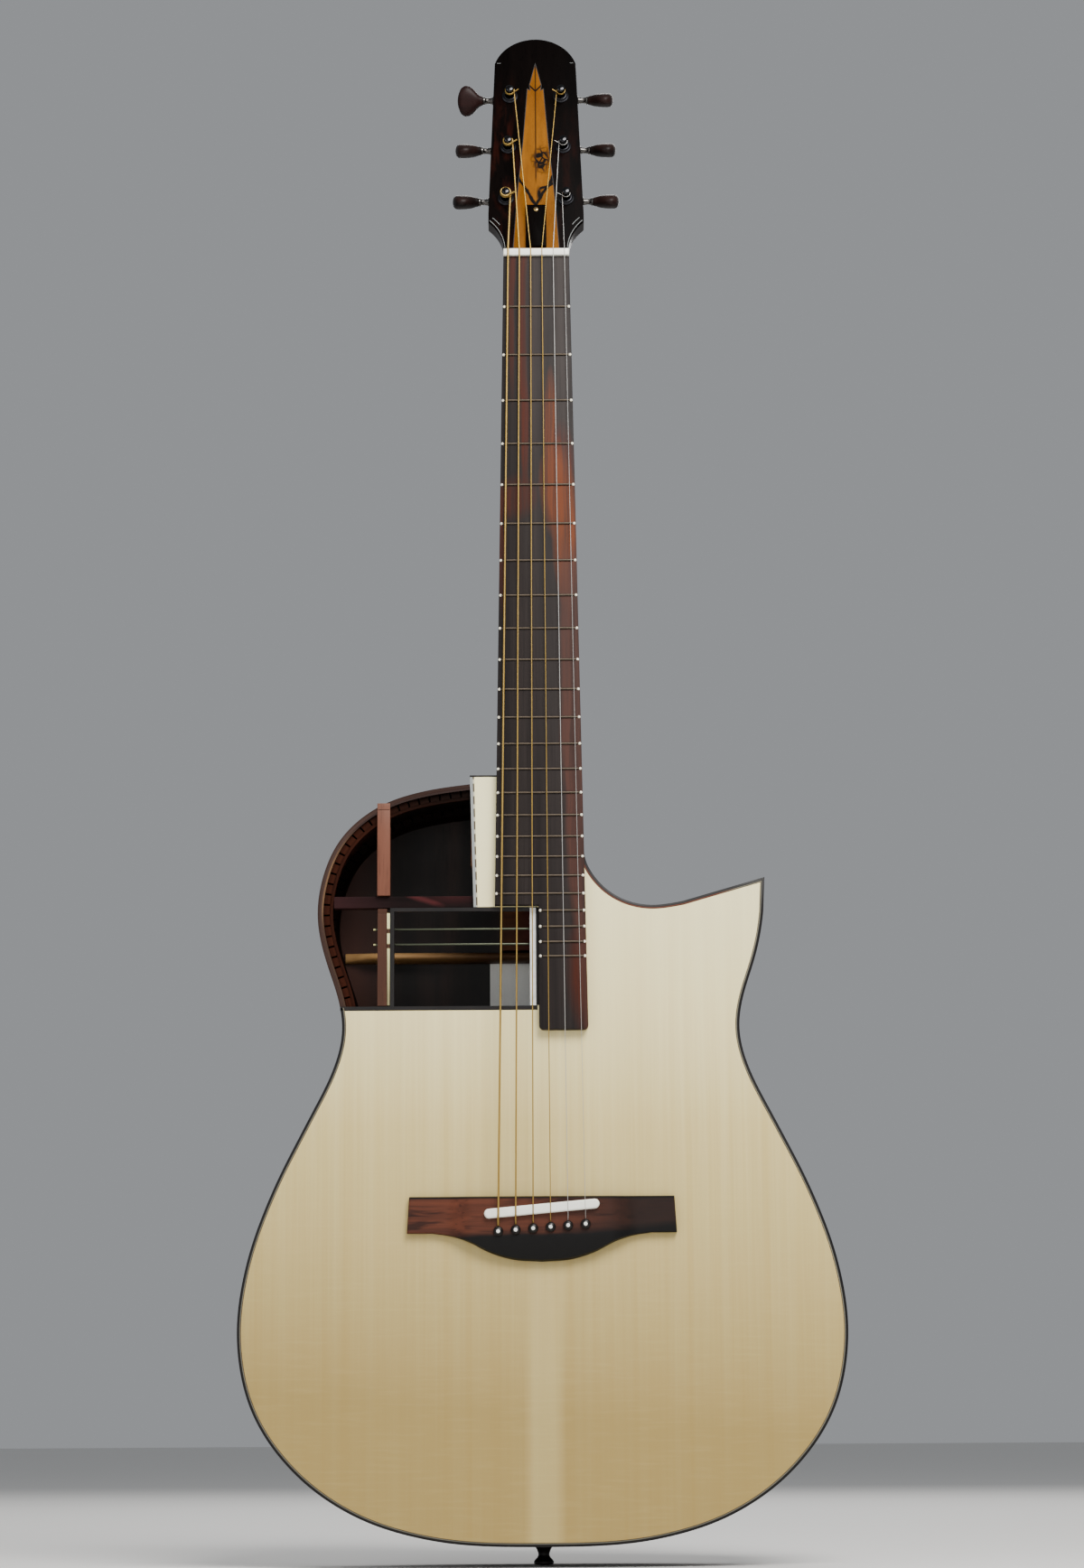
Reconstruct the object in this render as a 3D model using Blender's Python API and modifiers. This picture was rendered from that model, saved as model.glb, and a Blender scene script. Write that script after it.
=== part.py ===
# Steel-string guitar with a sharp cutaway and an open bass bout.
# Metres. +Z runs up the neck, -Y is the front and +X the treble side.
# The origin is on the centre line at the nut's fretboard edge, in the plane of the soundboard's
# face. A "down" value is a distance from the nut towards the tail, along -Z.

import math

import bmesh
import bpy
import numpy as np
from mathutils import Matrix, Vector

gap = 0.0003                    # left between two pieces that touch

# Fretboard and neck
scale_length = 0.650
fret_count = 24
full_width_frets = 20           # the higher frets cross only the treble half
nut_half_width = 0.0227
board_widening = 0.01678        # half width gained for each metre down the board
board_thickness = 0.0064
board_end_past_fret = 0.0077    # full board past its last full-width fret
extension_past_fret = 0.0492    # treble half past the last fret
extension_bass_edge = -0.0010
extension_corner = 0.003
fret_height = 0.0010
fret_width = 0.0022
fret_inset = 0.0008
nut_thickness = 0.0049
nut_over_frets = 0.0012
neck_depth_at_nut = 0.0158
neck_depth_at_heel = 0.0180
heel_profile = (                # depth, half width and reach along the neck
    (0.0020, 0.0272, 0.080),
    (0.0160, 0.0258, 0.064),
    (0.0240, 0.0222, 0.043),
    (0.0360, 0.0188, 0.030),
    (0.0540, 0.0155, 0.021),
    (0.0740, 0.0130, 0.017),
)
heel_end_half_width = 0.0120
heel_end_reach = 0.016
tenon_half_width = 0.010
tenon_length = 0.021
tenon_depth = 0.066

# Body: half widths at shares of the body's length, down from its top edge just past fret 14
joint_fret = 14
joint_past_fret = 0.0034
body_length = 0.5099
waist_and_bout = (
    (0.0800, 0.9890), (0.1168, 0.9671), (0.1551, 0.9206), (0.1914, 0.8276), (0.2012, 0.7337),
    (0.1952, 0.6403), (0.1785, 0.5476), (0.1545, 0.4530), (0.1369, 0.3830), (0.1314, 0.3375),
    (0.1355, 0.2905), (0.1434, 0.2473), (0.1500, 0.1826),
)
horn_tip = (0.1508, 0.1375)
bass_shoulder = (
    (0.1471, 0.1408), (0.1346, 0.0828), (0.1097, 0.0406), (0.0739, 0.0178), (0.0470, 0.0108),
)
cutaway_curve = (
    (0.0957, 0.1687), (0.0768, 0.1745), (0.0628, 0.1712), (0.0448, 0.1536), (0.0351, 0.1322),
    (0.0300, 0.1130), (0.0291, 0.0863), (0.0288, 0.0490), (0.0287, 0.0),
)
outline_step = 0.021            # between two points of the outline
depth_at_neck = 0.086
depth_at_tail = 0.100
dome_radius = 4.5
soundboard_thickness = 0.0028
back_thickness = 0.0028
side_thickness = 0.0034
lining_width = 0.0060
lining_depth = 0.0140
neck_block_length = 0.061
neck_block_foot_half_width = 0.026
neck_block_foot_thickness = 0.008
tail_block_half_width = 0.036
tail_block_length = 0.022

# Braces
brace_width = 0.008
brace_height = 0.013
brace_crossing = 0.4236         # this and the other places are shares of the body's length
x_brace_reach = 0.4315
tone_bar_places = (0.657, 0.745)
tone_bar_slope = 0.157
tone_bar_length = 0.21
glue_step = 0.00005             # between the glued faces of braces that cross
brace_half_angle = math.radians(47)
bridge_plate_thickness = 0.0025
bridge_plate_half_width = 0.085
bridge_plate_above = 0.004
bridge_plate_below = 0.022
back_brace_places = (0.2206, 0.4217, 0.6393, 0.8531)
centre_strip_half_width = 0.007
centre_strip_thickness = 0.0015

# Open bout
strip_half_width = 0.0467       # soundboard strip beside the fretboard, at the body's top
strip_low_half_width = 0.0445   # the same at the window
window_depth = 0.1586           # soundboard's edge across the bout, below the body's top
window_treble_edge = -0.0021
ebony_width = 0.0025
ebony_leg = (-0.1005, -0.0978)
ebony_depth = 0.006
upper_bar = (-0.1093, -0.1006)
upper_bar_top = 0.0422          # share of the body's length
lower_bar = (-0.1090, -0.1027)
bar_depth = 0.011
bar_front = 0.0003
cross_bar_width = 0.0079
cross_bar_bass_end = -0.1385
cross_bar_treble_end = -0.030
lower_bar_step = 0.0041         # its front starts this far below the cross bar
pearl_width = 0.0045
rod_radius = 0.00075
rod_depth = 0.0042
rod_bass_end = -0.112
rod_frets = (22, 23)

# Headstock, in its own tilted frame: x, depth behind the wood's face, height along it
head_angle = math.radians(14)
head_length = 0.1765
head_thickness = 0.0126
head_step = 0.0001              # its face behind the neck's, under the headplate
head_plate_thickness = 0.0020
wing_half_width = 0.0332
wing_low = 0.0150
wing_high = 0.0221
head_top_half_width = 0.0287
head_corner = 0.1558
inlay_profile = (               # half width and height
    (0.0158, 0.0004), (0.0117, 0.0580), (0.0086, 0.0900), (0.0055, 0.1336), (0.0034, 0.1322),
    (0.0040, 0.1370), (0.0, 0.1543),
)
cover_half_width = 0.0071
cover_low = 0.0020
cover_high = 0.0360
cover_thickness = 0.0018
cover_screw_height = 0.0320
cover_screw_radius = 0.0011
cover_screw_head = 0.0022

# Truss rod, along the neck under the fretboard
rod_axis_depth = 0.0064
truss_radius = 0.0024
truss_low = 0.339
truss_tip_radius = 0.0019
truss_nut_radius = 0.0034
truss_nut_length = 0.0120
pocket_half_width = 0.0039

# Tuning machines
post_places = ((0.0210, 0.0422), (0.0193, 0.0851), (0.0180, 0.1276))
post_radius = 0.0030
post_waist = 0.0025
post_above_plate = 0.0107
sleeve_radius = 0.0046
flange_radius = 0.0054
flange_thickness = 0.0016
mount_plate_thickness = 0.0012
mount_plate_half_width = 0.0083
wheel_teeth = 16
wheel_tip_radius = 0.0083
wheel_root_radius = 0.0066
wheel_thickness = 0.0032
worm_root_radius = 0.0024
worm_tip_radius = 0.0040
worm_distance = 0.0110          # from the post's axis to the worm's
worm_behind_head = 0.0062
worm_turns = 2.5
journal_radius = 0.0016
ear_thickness = 0.0020
ear_inside = 0.0059             # from the post's axis
ear_half_height = 0.0031
collar_radius = 0.0033
shaft_radius = 0.0022
button_start = 0.0195           # from the post's axis
button_profile = (              # distance along the button, half height and half thickness
    (0.0, 0.0030, 0.0029), (0.0021, 0.0039, 0.0034), (0.0043, 0.0058, 0.0041),
    (0.0065, 0.0082, 0.0045), (0.0092, 0.0102, 0.0048), (0.0125, 0.0108, 0.0049),
    (0.0152, 0.0092, 0.0048), (0.0169, 0.0060, 0.0038), (0.0178, 0.0026, 0.0020),
)
button_roll = math.radians(35)  # the oval's turn about its shaft at rest
knob_sides = 8

# Bridge, saddle, pins and strings
saddle_past_scale = 0.0054
saddle_slant = -0.0892          # down for each metre towards the treble
saddle_half_length = 0.0381
saddle_width = 0.0064
saddle_height = 0.0119
bridge_above_saddle = 0.0084    # from the saddle's centre up to the bridge's edge
bridge_top_half_width = 0.0875
bridge_half_width = 0.0890
bridge_wing_depth = 0.0239
belly_curve = ((0.0585, 0.0240), (0.0480, 0.0273), (0.0350, 0.0333), (0.0195, 0.0395), (0.0, 0.0423))
bridge_thickness = 0.0085
bridge_wing_thickness = 0.0048
bridge_centre_half_width = 0.046
saddle_slot_floor = 0.0042
string_count = 6
pin_spacing = 0.0115
pin_row_past_saddle = 0.0124
pin_slant = -0.0783
pin_head_radius = 0.0033
pin_radius = 0.0023
pin_hole_radius = 0.0027
nut_spacing = 0.0078
string_gauges = (0.00135, 0.00107, 0.00081, 0.00061, 0.00041, 0.00030)   # bass to treble
string_over_first_fret = 0.00045
winding_turns = 2
winding_points = 24
ball_radius = 0.0019

# End pin
end_pin_depth = 0.048
end_pin_radius = 0.0036
end_pin_head_radius = 0.0066

collection = bpy.data.collections.new("cutaway_acoustic_guitar")
cutters = bpy.data.collections.new("cutters")


def clear_scene():
    for old in list(bpy.data.objects):
        bpy.data.objects.remove(old, do_unlink=True)
    bpy.context.scene.collection.children.link(collection)
    bpy.context.scene.collection.children.link(cutters)


# Materials

def make_look(name, colour, roughness, metallic=0.0):
    look = bpy.data.materials.new(name)
    look.use_nodes = True
    shader = look.node_tree.nodes["Principled BSDF"]
    shader.inputs["Base Color"].default_value = (*colour, 1.0)
    shader.inputs["Roughness"].default_value = roughness
    shader.inputs["Metallic"].default_value = metallic
    look.diffuse_color = (*colour, 1.0)
    return look


spruce = make_look("spruce", (0.72, 0.60, 0.40), 0.45)
rosewood = make_look("rosewood", (0.060, 0.025, 0.018), 0.35)
red_rosewood = make_look("red_rosewood", (0.24, 0.09, 0.055), 0.40)
mahogany = make_look("mahogany", (0.16, 0.065, 0.035), 0.45)
lining_wood = make_look("lining_wood", (0.22, 0.10, 0.05), 0.60)
ebony = make_look("ebony", (0.018, 0.014, 0.013), 0.30)
bone = make_look("bone", (0.75, 0.75, 0.70), 0.35)
pearl = make_look("pearl", (0.62, 0.66, 0.62), 0.25)
spalted = make_look("spalted_maple", (0.52, 0.28, 0.08), 0.35)
steel = make_look("steel", (0.60, 0.60, 0.58), 0.22, 1.0)
brass = make_look("brass", (0.62, 0.42, 0.14), 0.25, 1.0)
bronze = make_look("bronze_winding", (0.62, 0.44, 0.20), 0.35, 1.0)


# Shapes

def add_object(name, mesh, look=None, parent=None):
    """A piece when it has a look, and otherwise a hidden cutter or helper."""
    made = bpy.data.objects.new(name, mesh)
    if look is None:
        cutters.objects.link(made)
        made.hide_render = True
        made.display_type = "WIRE"
    else:
        collection.objects.link(made)
        mesh.materials.clear()
        mesh.materials.append(look)
    made.parent = parent
    return made


def weld(mesh):
    shape = bmesh.new()
    shape.from_mesh(mesh)
    bmesh.ops.remove_doubles(shape, verts=shape.verts, dist=1e-6)
    bmesh.ops.recalc_face_normals(shape, faces=shape.faces)
    shape.to_mesh(mesh)
    shape.free()


def mesh_of_curve(curve, place=Matrix.Identity(4)):
    """The welded mesh of a curve, with its place applied. The curve is removed."""
    holder = bpy.data.objects.new("holder", curve)
    bpy.context.scene.collection.objects.link(holder)
    bpy.context.view_layer.update()
    graph = bpy.context.evaluated_depsgraph_get()
    mesh = bpy.data.meshes.new_from_object(holder.evaluated_get(graph))
    bpy.data.objects.remove(holder, do_unlink=True)
    mesh.transform(place)
    weld(mesh)
    return mesh


def flat_shape(name, loops, front, back, look=None, parent=None):
    """Loops of x and z, filled and carried through y. A loop inside another is a hole."""
    curve = bpy.data.curves.new(name, "CURVE")
    curve.dimensions = "2D"
    curve.fill_mode = "BOTH"
    curve.extrude = (back - front) / 2
    for loop in loops:
        spline = curve.splines.new("POLY")
        spline.points.add(len(loop) - 1)
        for point, (x, z) in zip(spline.points, loop):
            point.co = (x, z, 0.0, 1.0)
        spline.use_cyclic_u = True
    place = Matrix.Translation((0, (front + back) / 2, 0)) @ Matrix.Rotation(math.pi / 2, 4, "X")
    return add_object(name, mesh_of_curve(curve, place), look, parent)


def boxes(name, corners, look=None, parent=None):
    """One mesh of boxes, each given by its lowest and highest corner."""
    shape = bmesh.new()
    for low, high in corners:
        low, high = Vector(low), Vector(high)
        size = Matrix.Diagonal((*(high - low), 1.0))
        bmesh.ops.create_cube(shape, size=1.0, matrix=Matrix.Translation((low + high) / 2) @ size)
    mesh = bpy.data.meshes.new(name)
    shape.to_mesh(mesh)
    shape.free()
    return add_object(name, mesh, look, parent)


def cylinders(name, places, radius, low, high, sides=12, parent=None, along="Y"):
    """A cutter of cylinders along y, at places in x and z, or along z, at places in x and y."""
    shape = bmesh.new()
    turn = Matrix.Rotation(math.pi / 2, 4, "X") if along == "Y" else Matrix.Identity(4)
    for first, second in places:
        middle = (low + high) / 2
        centre = (first, middle, second) if along == "Y" else (first, second, middle)
        bmesh.ops.create_cone(
            shape, cap_ends=True, segments=sides, radius1=radius, radius2=radius,
            depth=high - low, matrix=Matrix.Translation(centre) @ turn,
        )
    mesh = bpy.data.meshes.new(name)
    shape.to_mesh(mesh)
    shape.free()
    return add_object(name, mesh, None, parent)


def turned(name, profile, sides, look, place, turn=(0, 0, 0), parent=None, ring=False):
    """A profile of radius and height, top to bottom, turned about the object's own z."""
    mesh = bpy.data.meshes.new(name)
    count = len(profile)
    edges = [(i, (i + 1) % count) for i in range(count if ring else count - 1)]
    mesh.from_pydata([(radius, 0.0, height) for radius, height in profile], edges, [])
    made = add_object(name, mesh, look, parent)
    made.location = place
    made.rotation_euler = turn
    screw = made.modifiers.new("turn", "SCREW")
    screw.axis = "Z"
    screw.steps = sides
    screw.render_steps = sides
    screw.use_merge_vertices = True
    screw.merge_threshold = 0.00001
    return made


def loft(name, rings, look=None, parent=None):
    """A skin over rings of equally many points, closed by flat ends."""
    rings = np.asarray(rings, float)
    index = np.arange(rings.shape[0] * rings.shape[1]).reshape(rings.shape[:2])
    after = np.roll(index, -1, axis=1)
    sides = np.stack([index[:-1], after[:-1], after[1:], index[1:]], axis=-1).reshape(-1, 4)
    faces = sides.tolist() + [index[0][::-1].tolist(), index[-1].tolist()]
    mesh = bpy.data.meshes.new(name)
    mesh.from_pydata(rings.reshape(-1, 3).tolist(), [], faces)
    weld(mesh)
    return add_object(name, mesh, look, parent)


def boolean(target, other, operation):
    step = target.modifiers.new(operation.lower(), "BOOLEAN")
    step.operation = operation
    step.solver = "EXACT"
    step.object = other
    return target


def cut(target, *others):
    for other in others:
        boolean(target, other, "DIFFERENCE")
    return target


def join(target, *others):
    for other in others:
        boolean(target, other, "UNION")
    return target


def keep_inside(target, other):
    return boolean(target, other, "INTERSECT")


def smooth_round(made, angle=40):
    made.data.shade_smooth()
    made.data.set_sharp_from_angle(angle=math.radians(angle))


def move_origin(made, point):
    """Puts the object's origin on a joint's axis and leaves the shape where it was."""
    made.data.transform(Matrix.Translation(-Vector(point)))
    made.location = point


# Body outline

def down_of_fret(number):
    return scale_length * (1.0 - 2.0 ** (-number / 12.0))


def board_half_width(down):
    return nut_half_width + board_widening * down


def smooth_line(points, step):
    """Points about one step apart on a smooth curve through the given ones."""
    points = np.asarray(points, float)
    along = np.append(0.0, np.cumsum(np.linalg.norm(np.diff(points, axis=0), axis=1)))
    slopes = np.gradient(points, along, axis=0)
    line = [points[:1]]
    for i in range(len(points) - 1):
        length = along[i + 1] - along[i]
        t = np.linspace(0.0, 1.0, max(1, round(length / step)) + 1)[1:, None]
        start = (2 * t ** 3 - 3 * t ** 2 + 1) * points[i] + (t ** 3 - 2 * t ** 2 + t) * length * slopes[i]
        end = (3 * t ** 2 - 2 * t ** 3) * points[i + 1] + (t ** 3 - t ** 2) * length * slopes[i + 1]
        line.append(start + end)
    return np.concatenate(line)


def offset_loop(loop, distance):
    """The loop moved inwards, to the right of its direction, with mitred corners."""
    loop = np.asarray(loop, float)
    ahead = np.roll(loop, -1, axis=0) - loop
    ahead /= np.linalg.norm(ahead, axis=1)[:, None]
    right = np.stack([ahead[:, 1], -ahead[:, 0]], axis=1)
    before = np.roll(right, 1, axis=0)
    mitre = (right + before) / (1.0 + (right * before).sum(axis=1))[:, None]
    return loop + distance * mitre


body_top = down_of_fret(joint_fret) + joint_past_fret


def down_body(share):
    """The z of a place at this share of the body's length, down from its top."""
    return -(body_top + share * body_length)


def in_body(points, side=1):
    return [(side * x, down_body(share)) for x, share in points]


def outline_runs():
    """The rim from the horn's tip round the tail to the bass shoulder, and the cutaway."""
    treble = in_body((horn_tip, *reversed(waist_and_bout)))
    tail = in_body([(0.0, 1.0)])
    bass = in_body((*waist_and_bout, *bass_shoulder), side=-1)
    rim = smooth_line(treble + tail + bass, outline_step)
    cutaway = smooth_line(in_body(reversed(cutaway_curve)), outline_step)
    return rim, np.concatenate([cutaway, in_body([horn_tip])])


rim_run, cutaway_run = outline_runs()
tail_index = int(np.argmin(rim_run[:, 1]))
block_bass_corner = (-strip_half_width, -body_top)
back_loop = np.concatenate([rim_run, [block_bass_corner], cutaway_run[:-1]])
smooth_loop = np.concatenate([rim_run, cutaway_run[:-1]])
front_of_rim = soundboard_thickness + gap
inside_rim = side_thickness + gap
inside_lining = inside_rim + lining_width + gap
far_back = depth_at_tail + 0.05


def back_face(x, z):
    """Depth of the domed back's outer face: a taper plus a shallow sphere."""
    below = -z - body_top
    taper = depth_at_neck + (depth_at_tail - depth_at_neck) * below / body_length
    half = body_length / 2
    return taper + (half ** 2 - (below - half) ** 2 - x ** 2) / (2 * dome_radius)


def behind_back(offset):
    """A cutter of everything behind the back's outer face moved forwards by the offset."""
    shape = bmesh.new()
    bmesh.ops.create_grid(shape, x_segments=6, y_segments=7, size=0.5)
    margin = 0.03
    half_width = max(x for x, below in waist_and_bout) + margin
    for point in shape.verts:
        x = 2 * half_width * point.co.x
        z = -body_top - body_length / 2 + (body_length + 2 * margin) * point.co.y
        point.co = (x, back_face(x, z) - offset, z)
    made = bmesh.ops.extrude_face_region(shape, geom=shape.faces[:])
    for point in made["geom"]:
        if isinstance(point, bmesh.types.BMVert):
            point.co.y = far_back
    bmesh.ops.recalc_face_normals(shape, faces=shape.faces)
    mesh = bpy.data.meshes.new("behind_back")
    shape.to_mesh(mesh)
    shape.free()
    return add_object("behind_back", mesh)


# Body

def make_body():
    behind_outer = behind_back(0.0)
    behind_inner = behind_back(back_thickness)
    behind_rim = behind_back(back_thickness + gap)
    behind_lining = behind_back(back_thickness + gap + lining_depth)
    behind_braces = behind_back(back_thickness + gap + brace_height)
    behind_strip = behind_back(back_thickness + gap + centre_strip_thickness)
    inside = flat_shape("inside_lining", [offset_loop(smooth_loop, inside_lining)], 0.0, far_back)
    inside_sides = flat_shape("inside_sides", [offset_loop(smooth_loop, inside_rim)], 0.0, far_back)
    make_plates(behind_outer, behind_inner)
    make_sides(behind_rim)
    block = make_neck_block(behind_rim)
    make_linings(block, behind_rim, behind_lining)
    make_tail_block(inside, inside_sides, behind_rim)
    make_soundboard_braces(inside)
    make_back_braces(inside, behind_rim, behind_braces, behind_strip)
    make_end_pin()


def board_end_down():
    return down_of_fret(full_width_frets) + board_end_past_fret


window_bottom = body_top + window_depth + gap


def make_plates(behind_outer, behind_inner):
    bass = rim_run[tail_index:]
    below = bass[bass[:, 1] < -window_bottom]
    edge_x = np.interp(-window_bottom, bass[:, 1], bass[:, 0])
    notch = [
        (edge_x, -window_bottom),
        (window_treble_edge, -window_bottom),
        (window_treble_edge, -board_end_down() - gap),
        (-strip_low_half_width, -board_end_down() - gap),
        (-strip_half_width, -body_top),
    ]
    loop = np.concatenate([rim_run[:tail_index], below, notch, cutaway_run[:-1]])
    board = flat_shape("soundboard", [loop], 0.0, soundboard_thickness, spruce)
    cut(board, pin_holes, string_slots)
    back = flat_shape("back_plate", [back_loop], depth_at_neck / 2, far_back - gap, rosewood)
    cut(keep_inside(back, behind_inner), behind_outer)


def make_sides(behind_rim):
    inner = offset_loop(smooth_loop, side_thickness)
    inner_rim = inner[:len(rim_run)]
    inner_cutaway = np.concatenate([inner[len(rim_run):], inner[:1]])
    tip_gap = 2 * gap
    treble = [rim_run[:tail_index + 1], inner_rim[:tail_index + 1]]
    bass = [rim_run[tail_index:].copy(), inner_rim[tail_index:].copy()]
    cutaway = [cutaway_run.copy(), inner_cutaway.copy()]
    for line in bass:
        line[0, 0] -= gap
    bass[1][-1] = bass[0][-1] + np.array([0.0, -side_thickness])
    cutaway[1][0] = cutaway[0][0] + np.array([-side_thickness, 0.0])
    for line in cutaway:
        away = line[-2] - line[-1]
        line[-1] += away / np.linalg.norm(away) * tip_gap
    for name, (outer, other) in (("treble_side", treble), ("bass_side", bass), ("cutaway_side", cutaway)):
        loop = np.concatenate([outer, other[::-1]])
        wall = flat_shape(name, [loop], front_of_rim, far_back - gap, rosewood)
        cut(wall, behind_rim)
        if name != "cutaway_side":
            cut(wall, end_pin_hole)


def neck_block_box(margin=0.0):
    left = -strip_half_width + gap - margin
    right = cutaway_curve[-1][0] - inside_rim + margin
    bottom = -body_top - neck_block_length - margin
    return (left, front_of_rim - margin, bottom), (right, far_back, -body_top + 2 * margin)


def make_neck_block(behind_rim):
    block = boxes("neck_block", [neck_block_box()], mahogany)
    foot_front = depth_at_neck - back_thickness
    foot_bottom = down_body(back_brace_places[0]) + brace_width / 2 + gap
    half = neck_block_foot_half_width
    foot_top = -body_top - neck_block_length / 2
    right = cutaway_curve[-1][0] - inside_lining - gap
    foot = boxes("neck_block_foot", [((-half, foot_front - neck_block_foot_thickness / 2, foot_bottom),
                                      (right, far_back, foot_top))])
    mortise = boxes("mortise", [(
        (-tenon_half_width - gap, 0.0, -body_top - tenon_length - gap),
        (tenon_half_width + gap, tenon_depth + gap, -body_top + 0.01),
    )])
    cut(join(block, foot), mortise, behind_rim)
    return block


def make_linings(block, behind_rim, behind_lining):
    block_space = boxes("neck_block_space", [neck_block_box(gap)])
    outer = offset_loop(smooth_loop, inside_rim)
    inner = offset_loop(smooth_loop, inside_rim + lining_width)
    top = flat_shape("top_lining", [outer, inner], front_of_rim, front_of_rim + lining_depth, lining_wood)
    cut(top, block_space)
    back = flat_shape("back_lining", [outer, inner], depth_at_neck / 2, far_back - gap, lining_wood)
    cut(keep_inside(back, behind_lining), behind_rim, block_space)


def make_tail_block(inside, inside_sides, behind_rim):
    half, top = tail_block_half_width, -body_top - body_length + tail_block_length
    low = -body_top - body_length
    block = boxes("tail_block", [((-half, front_of_rim, low), (half, far_back - gap, top))], mahogany)
    keep_inside(block, inside)
    nose_front = front_of_rim + lining_depth + gap
    nose_back = depth_at_tail - back_thickness - lining_depth - 0.004
    nose = boxes("tail_block_nose", [((-half + 0.001, nose_front, low), (half - 0.001, nose_back, top - 0.005))])
    keep_inside(nose, inside_sides)
    cut(join(block, nose), behind_rim, end_pin_hole)


def beam(name, start, end, width, front, back):
    """A straight bar between two places in x and z."""
    start, end = np.array(start), np.array(end)
    ahead = (end - start) / np.linalg.norm(end - start)
    across = np.array([ahead[1], -ahead[0]]) * width / 2
    loop = [start - across, start + across, end + across, end - across]
    return flat_shape(name, [loop], front, back)


def make_soundboard_braces(inside):
    front, back = front_of_rim, front_of_rim + brace_height
    crossing = down_body(brace_crossing)
    top = -(window_bottom + brace_width)
    plate_top = bridge_top + bridge_plate_above
    plate_bottom = bridge_top - bridge_wing_depth - bridge_plate_below
    bars = boxes("soundboard_braces", [(
        (-bridge_plate_half_width, front, plate_bottom),
        (bridge_plate_half_width, front + bridge_plate_thickness, plate_top),
    )], spruce)
    reach_up = top - crossing
    slope = math.tan(brace_half_angle)
    low = x_brace_reach * body_length
    for side in (-1, 1):
        upper = (-side * reach_up * slope, top)
        lower = (side * low * slope, crossing - low)
        apart = glue_step * (side + 3)
        join(bars, beam(f"x_brace_{side}", upper, lower, brace_width, front + apart, back + apart))
    half = waist_and_bout[9][0]
    wide, shallow = brace_width * 1.4, back - 0.002
    join(bars, beam("transverse_brace", (-half, top), (half, top), wide, front + glue_step, shallow))
    for number, share in enumerate(tone_bar_places):
        reach = (share - brace_crossing) * body_length * slope
        start = (reach, down_body(share))
        end = (reach - tone_bar_length, down_body(share + tone_bar_slope))
        bar = beam(f"tone_bar_{number}", start, end, brace_width * 0.8, front + 3 * glue_step, back - 0.004)
        join(bars, bar)
    keep_inside(bars, inside)
    cut(bars, pin_holes, string_slots)


def make_back_braces(inside, behind_rim, behind_braces, behind_strip):
    wide = max(x for x, below in waist_and_bout)
    bars = boxes("back_braces", [
        ((-wide, depth_at_neck / 2, down_body(place) - brace_width / 2),
         (wide, far_back - gap, down_body(place) + brace_width / 2))
        for place in back_brace_places
    ], spruce)
    keep_inside(bars, behind_braces)
    strip = boxes("centre_strip", [(
        (-centre_strip_half_width, depth_at_neck / 2, -(body_top + body_length - tail_block_length - gap)),
        (centre_strip_half_width, far_back - 2 * gap, down_body(back_brace_places[0])),
    )])
    keep_inside(strip, behind_strip)
    cut(keep_inside(join(bars, strip), inside), behind_rim)


def make_end_pin():
    tail = -(body_top + body_length)
    shank = tail_block_length - 0.002
    profile = (
        (0.0, 0.0130), (end_pin_head_radius - 0.0008, 0.0130), (end_pin_head_radius, 0.0122),
        (end_pin_head_radius - 0.0004, 0.0095), (end_pin_radius, 0.0070), (end_pin_radius + 0.0006, 0.0040),
        (end_pin_head_radius - 0.001, 0.0012), (end_pin_head_radius - 0.001, gap),
        (end_pin_radius, gap), (end_pin_radius * 0.85, -shank), (0.0, -shank),
    )
    turned("end_pin", profile, 14, ebony, (0, end_pin_depth, tail), (math.pi, 0, 0))


# Open bout

def make_lattice():
    board_end = board_end_down()
    cross_top = -(board_end - cross_bar_width + gap)
    cross_low = -(board_end + gap)
    back = front_of_rim + 0.0079
    boxes("cross_bar", [((cross_bar_bass_end, front_of_rim, cross_low),
                         (cross_bar_treble_end, front_of_rim + cross_bar_width, cross_top))], rosewood)
    left, right = upper_bar
    bass = rim_run[tail_index:]
    rim_here = down_body(upper_bar_top)
    deep_top = rim_here - inside_lining - 0.002
    bar = boxes("upper_bar", [((left, bar_front, cross_top + gap), (right, soundboard_thickness, rim_here))],
                red_rosewood)
    join(bar, boxes("upper_bar_web", [((left, bar_front, cross_top + gap), (right, bar_depth, deep_top))]))
    ebony_top = cross_low - gap
    ebony_low = -(body_top + window_depth)
    left, right = lower_bar
    bar = boxes("lower_bar", [((left, bar_front, ebony_low + ebony_width + gap),
                               (right, back, cross_low - lower_bar_step))], red_rosewood)
    join(bar, boxes("lower_bar_foot", [((left, front_of_rim + gap, ebony_low + 0.01),
                                        (right, back, cross_low - gap))]))
    cut(bar, rod_holes)
    left, right = ebony_leg
    edge_x = np.interp(ebony_low + ebony_width, bass[:, 1], bass[:, 0]) + gap
    treble = window_treble_edge - gap
    frame = boxes("ebony_frame", [((left, 0.0, ebony_low), (right, ebony_depth, ebony_top))], ebony)
    join(frame, boxes("ebony_top", [((left, 0.0, ebony_top - ebony_width),
                                     (treble - pearl_width - gap, soundboard_thickness, ebony_top))]))
    join(frame, boxes("ebony_edge", [((edge_x, 0.0, ebony_low),
                                      (treble, soundboard_thickness, ebony_low + ebony_width))]))
    cut(frame, rod_holes)
    bar = boxes("pearl_bar", [((treble - pearl_width, 0.0, ebony_low + ebony_width + gap),
                               (treble, ebony_depth, ebony_top - gap))], pearl)
    cut(bar, rod_holes)
    for name, number in zip(("rod_upper", "rod_lower"), rod_frets):
        start = (rod_bass_end, rod_depth, -down_of_fret(number))
        rod = round_bar(name, start, treble - pearl_width / 2 - rod_bass_end, rod_radius, brass)
        rod.rotation_euler = (0, math.pi / 2, 0)


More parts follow.
